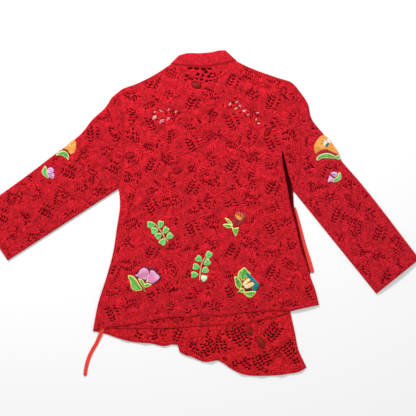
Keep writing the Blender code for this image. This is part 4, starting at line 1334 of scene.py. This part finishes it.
def lace_cords(panel):
    """Cords round the leaves and the rosettes of the lace, and tendrils between them."""
    paths = []
    for middle, turn, way in repeats(panel.outline, FIRST_GAP[panel.node]):
        leaf = turn + way * LEAF_TURN
        for width, length in LEAF_CORDS:
            paths.append(turned(closed(oval(width, length, 36)), leaf) + middle)
        for across, down, radius, petals in ROSETTES:
            centre = turned((across, -down), turn) + middle
            for share in RING_SHARES:
                angles = np.linspace(0, 2 * math.pi, 44)
                r = radius * share * (0.82 + 0.18 * np.abs(np.sin(angles * petals / 2 + way)))
                paths.append(np.stack((np.cos(angles) * r, np.sin(angles) * r), 1) + centre)
        for lean in TENDRIL_TURNS:
            t = np.linspace(0, 1, 26)
            swing = TENDRIL_SWING * np.sin(t * 2 * math.pi * 1.3 + lean)
            wave = turned(np.stack((t * TENDRIL_LENGTH, swing), 1), turn + way * lean + 20)
            paths.append(wave + middle + turned(TENDRIL_START, lean))
    runs = [run for path in paths for run in cut_into_runs(path, panel)]
    return laid_cords(f"cords_{panel.node}", runs, panel.top.height, FINISHES["red_cord"], CORD_RADIUS)


def laid_cords(name, paths, height_of, finish, radius):
    """Cords half sunk in the cloth along some plan paths."""
    runs = [np.column_stack((path, height_of(path) + radius * 0.2)) for path in paths]
    return grown(name, runs, CORD, finish, radius=radius)


def edge_run(outline, start, end, inset):
    """The part of an outline from one (x, down) to another, some way inside it."""
    start, end = (int(np.argmin(np.linalg.norm(outline - point, axis=1))) for point in plan([start, end]))
    run = np.roll(outline, -start, axis=0)[:(end - start) % len(outline) + 1]
    along = np.gradient(run, axis=0)
    along /= np.linalg.norm(along, axis=1)[:, None]
    inner = run + np.stack((-along[:, 1], along[:, 0]), 1) * inset
    return smooth_path(inner[2:-2:2], 3.0)


def seams_and_hems(panel):
    """Rolled edges and rows of stitches along a panel's seams and hems."""
    name, edges = f"seams_{panel.node}", EDGES[panel.node]
    finish = FINISHES["deep_red_cord"]
    rolls = [edge_run(panel.edge, start, end, inset) for start, end, inset, _ in edges]
    rows = [edge_run(panel.edge, start, end, inset) for start, end, _, inset in edges if inset]
    rows = [np.column_stack((row, panel.top.height(row) + 0.1)) for row in rows]
    rolled = laid_cords(f"{name}_rolls", rolls, panel.top.height, finish, ROLL_RADIUS)
    stitches = grown(f"{name}_stitches", rows, STITCHES, finish, radius=STITCH_RADIUS, pitch=STITCH_PITCH)
    return joined(name, [rolled, stitches])


def petal_mesh(name, outline, root, tip, height_of, finish, dome, lift):
    """A satin-stitched petal: a domed pad with its rim, length and width as attributes."""
    outline = anticlockwise(smooth_loop(plan(outline), PETAL_STEP))
    extra = spread_points(outline, [], PETAL_STEP, PETAL_STEP * 0.6)
    points, faces = triangulated(outline, [], extra)
    rim = distance_to(points, closed(outline))
    root, tip = plan([root, tip])
    axis = tip - root
    length = np.linalg.norm(axis)
    along = (points - root) @ axis / length**2
    across = (points - root) @ np.array((-axis[1], axis[0])) / length
    ground = height_of(points)
    crown = np.sqrt(1 - (1 - np.clip(rim / PETAL_SHOULDER, 0, 1)) ** 2)
    channel = CHANNEL_DEPTH * np.clip(1 - np.abs(across) / CHANNEL_HALF, 0, 1) * np.clip(rim / 3, 0, 1)
    top = ground + lift + dome * crown - channel * min(1, dome)
    vertices = wall_points(points, ground - PETAL_SINK, top)
    attributes = {"rim": np.tile(rim, 2), "along": np.tile(along, 2), "across": np.tile(across, 2)}
    return new_mesh(name, vertices, wall_faces(faces, len(points)), FINISHES[finish], attributes)


def two_ends(x, down, length, turn):
    """The root and the tip of a leaf or petal round a place, as (x, down)."""
    return rows_of(turned(((-length / 2, 0), (length / 2, 0)), turn) + (x, -down))


def sprig_leaf(x, down, length, width, turn, finish="mint_leaf"):
    """A heart-shaped leaf with a blunt point, as a petal row."""
    angles = np.arange(18) * 2 * math.pi / 18
    r = 1 + 0.18 * np.cos(angles) ** 7 - 0.16 * np.clip(-np.cos(angles), 0, 1) ** 10
    across = np.sin(angles) * width * (1 - 0.16 * np.cos(angles))
    shape = np.stack((np.cos(angles) * length * r, across), 1) / 2
    root, tip = two_ends(x, down, length, turn)
    return finish, root, tip, rows_of(turned(shape, turn) + (x, -down))


def yoke_petals(name, rows, height_of):
    """Pale petals of a front's own embroidery, which show through the yoke's openings."""
    things = []
    for k, (x, down, turn, length, width) in enumerate(rows):
        turn = turn + random.uniform(-12, 12)
        outline = oval(length * 1.1, width * 1.05, 14) * random.uniform(0.62, 1.12, (14, 1))
        outline = rows_of(turned(outline, turn) + (x, -down))
        root, tip = two_ends(x, down, length, turn)
        finish = YOKE_FINISHES[k % len(YOKE_FINISHES)]
        things.append(petal_mesh(f"{name}_{k}", outline, root, tip, height_of, finish, YOKE_DOME, YOKE_LIFT))
    return joined(name, things)


def bead_mesh(name, place, radius, height_of, finish):
    """A knot of thread."""
    middle = plan([place])[0]
    ground = float(height_of([middle])[0])
    ring = oval(radius * 2, radius * 2, 8) + middle
    lower = np.column_stack((ring, np.full(8, ground - 0.2)))
    upper = np.column_stack(((ring - middle) * 0.8 + middle, np.full(8, ground + radius * 0.7)))
    vertices = np.vstack((lower, upper, ((*middle, ground + radius),), ((*middle, ground - 0.2),)))
    faces = []
    for k in range(8):
        n = (k + 1) % 8
        faces += [(k, n, 8 + n), (k, 8 + n, 8 + k), (8 + k, 8 + n, 16), (n, k, 17)]
    zero = np.zeros(len(vertices))
    attributes = {"rim": zero + 2, "along": zero + 0.5, "across": zero}
    return new_mesh(name, vertices, faces, FINISHES[finish], attributes)


def embroidery(name, height_of, leaves, petals, stems, edges, beads):
    """One flower or sprig with all its petals, stems, edging threads and knots."""
    things = []
    for k, (finish, root, tip, outline) in enumerate([*(sprig_leaf(*row) for row in leaves), *petals]):
        dome = FLAT_DOME if finish in FLAT_PETALS else PETAL_DOME
        lift = PETAL_LIFT + PETAL_RISE * k
        things.append(petal_mesh(f"{name}_{k}", outline, root, tip, height_of, finish, dome, lift))
    for k, (finish, radius, rows) in enumerate([*stems, *edges]):
        path = smooth_path(plan(rows), 1.5)
        lift = STEM_LIFT if k < len(stems) else EDGING_LIFT
        line = np.column_stack((path, height_of(path) + lift))
        things.append(grown(f"{name}_cord_{k}", [line], CORD, FINISHES[finish], radius=radius))
    for k, (finish, radius, place) in enumerate(beads):
        things.append(bead_mesh(f"{name}_bead_{k}", place, radius, height_of, finish))
    return joined(name, things)


def lofted(name, rings, finish, attributes):
    """A closed solid through rings of as many points each, with its two ends filled."""
    size, count = len(rings[0]), len(rings)
    faces = []
    for r in range(count - 1):
        for i in range(size):
            a, b = r * size + i, r * size + (i + 1) % size
            faces.append((a, a + size, b + size, b))
    faces.append(tuple(range(size)))
    faces.append(tuple(range((count - 1) * size, count * size))[::-1])
    return new_mesh(name, np.vstack(rings), faces, FINISHES[finish], attributes)


def tie_mesh(name, rows):
    """A ribbon tie along its middle line, slightly cupped, with a rounded free end."""
    middle = smooth_path(placed(rows), 3.0)
    tangents = np.gradient(middle[:, :2], axis=0)
    tangents /= np.linalg.norm(tangents, axis=1)[:, None]
    run = np.concatenate(([0], np.cumsum(np.linalg.norm(np.diff(middle[:, :2], axis=0), axis=1))))
    shares = np.linspace(-1, 1, RIBBON_SHARES)
    rings, along, across = [], [], []
    for row, tangent, at in zip(middle, tangents, run):
        left = run[-1] - at
        half = row[3] / 2 * min(1.0, math.sqrt(max(0.02, 1 - max(0.0, 1 - left / 4.0) ** 2)))
        side = np.array((-tangent[1], tangent[0]))
        base = max(0.0, row[2])
        ripple = 0.18 * math.sin(at / 7.5) + 0.12 * math.sin(at / 3.1 + 1)
        lift = np.maximum(0, ripple + 0.15) * (1 - shares**2) + 0.25 * shares**4
        places = [row[:2] + side * half * share for share in shares]
        upper = [(*place, base + up + RIBBON_THICKNESS) for place, up in zip(places, lift)]
        lower = [(*place, base + up * 0.5) for place, up in zip(places, lift)]
        rings.append(np.array([*upper, *lower[::-1]]))
        along += [at] * (RIBBON_SHARES * 2)
        across += [*shares, *shares[::-1]]
    return lofted(name, rings, "coral_ribbon", {"along": along, "across": across})


def collar_mesh(name):
    """The stand collar pressed flat: one band that turns over at both ends of the neck."""
    seam, top = smooth_path(plan(NECK_SEAM), 4.0), smooth_path(plan(COLLAR_TOP), 4.0)
    width = seam[-1, 0] - seam[0, 0]

    def at(path, u):
        shares = np.linspace(0, 1, len(path))
        return np.array([np.interp(u, shares, path[:, k]) for k in range(2)])

    def height(u):
        return min(1.0, min(u, 1 - u) * width / SEAM_RISE)

    def turn_over(u, start, end):
        radius = abs(end - start) / 2
        angles = [math.pi * k / COLLAR_TURN_STEPS for k in range(COLLAR_TURN_STEPS + 1)]
        return [
            (u, radius * math.sin(angle), (start + end) / 2 + (start - end) / 2 * math.cos(angle), 0)
            for angle in angles
        ]

    low, high = COLLAR_LIES, COLLAR_LIES + LAYER
    stations = [(u, 0, low, 0) for u in np.linspace(OUTER_COLLAR_END, 0.0, 24)[:-1]]
    stations += turn_over(0.0, low, high)
    stations += [(u, 0, high + BACK_RISE * height(u), 1) for u in np.linspace(0, 1, 44)[1:-1]]
    stations += turn_over(1.0, high, low)
    stations += [(u, 0, low + LAYER * height(u), 0) for u in np.linspace(1, INNER_COLLAR_END, 24)[1:]]
    bands = np.linspace(0, 1, COLLAR_BANDS)
    middle = []
    for u, out, z, face_up in stations:
        lower_edge, upper_edge = at(seam, u), at(top, u)
        lean = upper_edge - lower_edge
        outward = np.array((-lean[1], lean[0])) / np.linalg.norm(lean) * (1 if u < 0.5 else -1)
        lower_edge = lower_edge + (0, SEAM_GAP)
        swell = 0.45 * face_up * np.sin(math.pi * bands) * min(1, min(u, 1 - u) * 8)
        wave = 0.2 * face_up * np.sin(u * 37 + bands * 3)
        middle.append([
            (*(lower_edge + (upper_edge - lower_edge) * b + outward * out), z + s)
            for b, s in zip(bands, swell + wave * np.sin(math.pi * bands))
        ])
    middle = np.array(middle)
    normal = np.cross(np.gradient(middle, axis=0), np.gradient(middle, axis=1))
    normal /= np.linalg.norm(normal, axis=2)[..., None]
    rings = [np.vstack((m + n * COLLAR_HALF, (m - n * COLLAR_HALF)[::-1])) for m, n in zip(middle, normal)]
    for ring in rings:
        ring[:, 2] = np.maximum(ring[:, 2], 0)
    # The collar gets none of the lace's painted shade.
    return lofted(name, rings, "red_lace_collar", {"covered": [0.0] * (len(rings) * COLLAR_BANDS * 2)})


def flat_fill(name, shapes, height_of, finish, depth):
    """Thin plates that fill some holes, set a depth below the cloth's top."""
    vertices, faces = [], []
    for shape in shapes:
        away = shape - shape.mean(0)
        shape = anticlockwise(shape + away / np.linalg.norm(away, axis=1)[:, None] * NET_OVERLAP)
        count, first = len(shape), len(vertices)
        z = height_of(shape) - depth
        vertices += [(*p, h - NET_THICKNESS) for p, h in zip(shape, z)]
        vertices += [(*p, h) for p, h in zip(shape, z)]
        faces.append(tuple(first + count + k for k in range(count)))
        faces.append(tuple(first + k for k in range(count))[::-1])
        for k in range(count):
            n = (k + 1) % count
            faces.append((first + k, first + n, first + count + n, first + count + k))
    return new_mesh(name, vertices, faces, FINISHES[finish])


def light(name, place, size, energy):
    lamp = bpy.data.lights.new(name, "AREA")
    lamp.shape = "DISK"
    lamp.size = size
    lamp.energy = energy
    thing = bpy.data.objects.new(name, lamp)
    thing.location = place
    thing.rotation_euler = (Vector((0, 0, 0)) - Vector(place)).to_track_quat("-Z", "Y").to_euler()
    bpy.context.scene.collection.objects.link(thing)


def studio():
    """A pale floor, soft light with a little more from the top left, and the camera straight above."""
    corners = ((-1, -1), (1, -1), (1, 1), (-1, 1))
    mesh = bpy.data.meshes.new("floor")
    mesh.from_pydata([(x * FLOOR_HALF, y * FLOOR_HALF, FLOOR_HEIGHT) for x, y in corners], [], [(0, 1, 2, 3)])
    floor = bpy.data.objects.new("floor", mesh)
    bpy.context.scene.collection.objects.link(floor)
    finish = Finish("pale_floor", roughness=0.9, specular=0.1)
    finish.surface.inputs["Base Color"].default_value = (FLOOR_SHADE, FLOOR_SHADE, FLOOR_SHADE, 1)
    mesh.materials.append(finish.material)
    world = bpy.data.worlds.new("studio")
    world.use_nodes = True
    world.node_tree.nodes["Background"].inputs["Color"].default_value = (1, 1, 1, 1)
    world.node_tree.nodes["Background"].inputs["Strength"].default_value = SKY_STRENGTH
    bpy.context.scene.world = world
    for row in LIGHTS:
        light(*row)
    lens = bpy.data.cameras.new("camera")
    lens.sensor_width = SENSOR_WIDTH
    lens.lens = SENSOR_WIDTH * CAMERA_PLACE[2] / PHOTO_WIDTH
    camera = bpy.data.objects.new("camera", lens)
    camera.location = CAMERA_PLACE
    bpy.context.scene.collection.objects.link(camera)
    bpy.context.scene.camera = camera
    bpy.context.scene.view_settings.view_transform = "Standard"


def node_outline(node):
    """The plan outline round an embroidered node, a little larger, to keep the lace clear of it."""
    low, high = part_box(node)
    x0, y0 = low.x / MM - OFFSET[0], low.y / MM - OFFSET[1]
    x1, y1 = high.x / MM - OFFSET[0], high.y / MM - OFFSET[1]
    return oval((x1 - x0) * 1.02, (y1 - y0) * 1.02, 24) + ((x0 + x1) / 2, (y0 + y1) / 2)


def cut_openwork(panel):
    """Cuts a panel's holes: the frame's gaps, its larger ones, then the dashes of each repeat."""
    node, work = panel.node, panel.work
    cut_gaps(work, panel.gaps, LATTICE_SIZE if node == "front_outer" else GAP_SIZE)
    for table in (BROWN_OVALS, RED_OVALS):
        kept = work.add(placed(table.get(node, ())), oval)
        panel.ovals.append([turned(oval(length, width), turn) + (x, y) for x, y, turn, length, width in kept])
    if node == "back":
        work.add(placed(NECK_HOLES), clear_of_edge=0.5)
        work.add(placed((*YOKE_LEFT, *YOKE_RIGHT)), clearance=0.7)
    if node == "front_outer":
        for x, down, turn, columns, rows in LATTICES:
            middle = np.array((x, -down))
            work.add(leaf_rows(middle, turn, columns, rows, LATTICE_SIZE, LATTICE_PITCH, 0.2, 0, 0.4))
    fill_with_dashes(work, FIRST_GAP[node], panel.on_top)


def laid_on_cloth(panel):
    """What is part of a panel's lace: cords, or a near-black net in its holes that is painted shade, seams
    and hems, and ovals of net.
    """
    node, height_of = panel.node, panel.top.height
    if panel.on_top:
        things = [lace_cords(panel)]
    else:
        # Painted shade: the holes of a panel that lies under another or on the floor get a near-black net.
        holes = [hole for hole in panel.work.holes if len(hole) == len(DASH)]
        things = [flat_fill(f"net_{node}", holes, height_of, "painted_shade_net", PAINTED_SHADE_NET_DEPTH)]
    if node in EDGES:
        things.append(seams_and_hems(panel))
    for shade, shapes in zip(("brown", "red"), panel.ovals):
        if shapes:
            things.append(flat_fill(f"net_{shade}_{node}", shapes, height_of, f"{shade}_net", OVAL_NET_DEPTH))
    return things


def put_on(thing):
    """Fixes a finished thing to the model's root."""
    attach(thing, "root")


def make_lace():
    """Each panel of lace with what is laid on it, from the lowest up."""
    panels = {node: Panel(node) for node in PANELS}
    for node, panel in panels.items():
        cut_openwork(panel)
        lay_cloth(panel, panels)
        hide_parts(node)
        put_on(panel.thing)
    for panel in panels.values():
        panel.extras = laid_on_cloth(panel)
    for side, rows, node in (("left", YOKE_LEFT, "front_outer"), ("right", YOKE_RIGHT, "front_inner")):
        panels[node].extras.append(yoke_petals(f"yoke_petals_{side}", rows, panels["back"].top.height))
    for panel in panels.values():
        for thing in panel.extras:
            put_on(thing)
    return panels


def sew_flowers(panels):
    """The embroidered flowers, each on its panel."""
    for name, node, under, *parts in FLOWERS:
        thing = embroidery(f"embroidery_{name}", panels[under].top.height, *parts)
        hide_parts(node)
        put_on(thing)
        panels[under].extras.append(thing)


def main():
    panels = make_lace()
    sew_flowers(panels)
    collar = collar_mesh("lace_collar")
    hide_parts("collar")
    put_on(collar)
    for side, (rows, flat) in TIES.items():
        tie = tie_mesh(f"ribbon_tie_{side}", rows)
        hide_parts(f"tie_{side}")
        put_on(tie)
    for node, panel in panels.items():
        area = abs(area_of(panel.outline)) * MM * MM


CORD = cord_tree()
STITCHES = stitch_tree()
FINISHES = {
    **{name: thread_finish(name, *row) for name, row in SATIN.items()},
    **{name: plain_thread(name, *row) for name, row in TWISTED.items()},
    **{name: lace_finish(name, *row) for name, row in LACES.items()},
    **{name: net_finish(name, *row) for name, row in NETS.items()},
    "coral_ribbon": ribbon_finish("coral_ribbon"),
}

main()
studio()
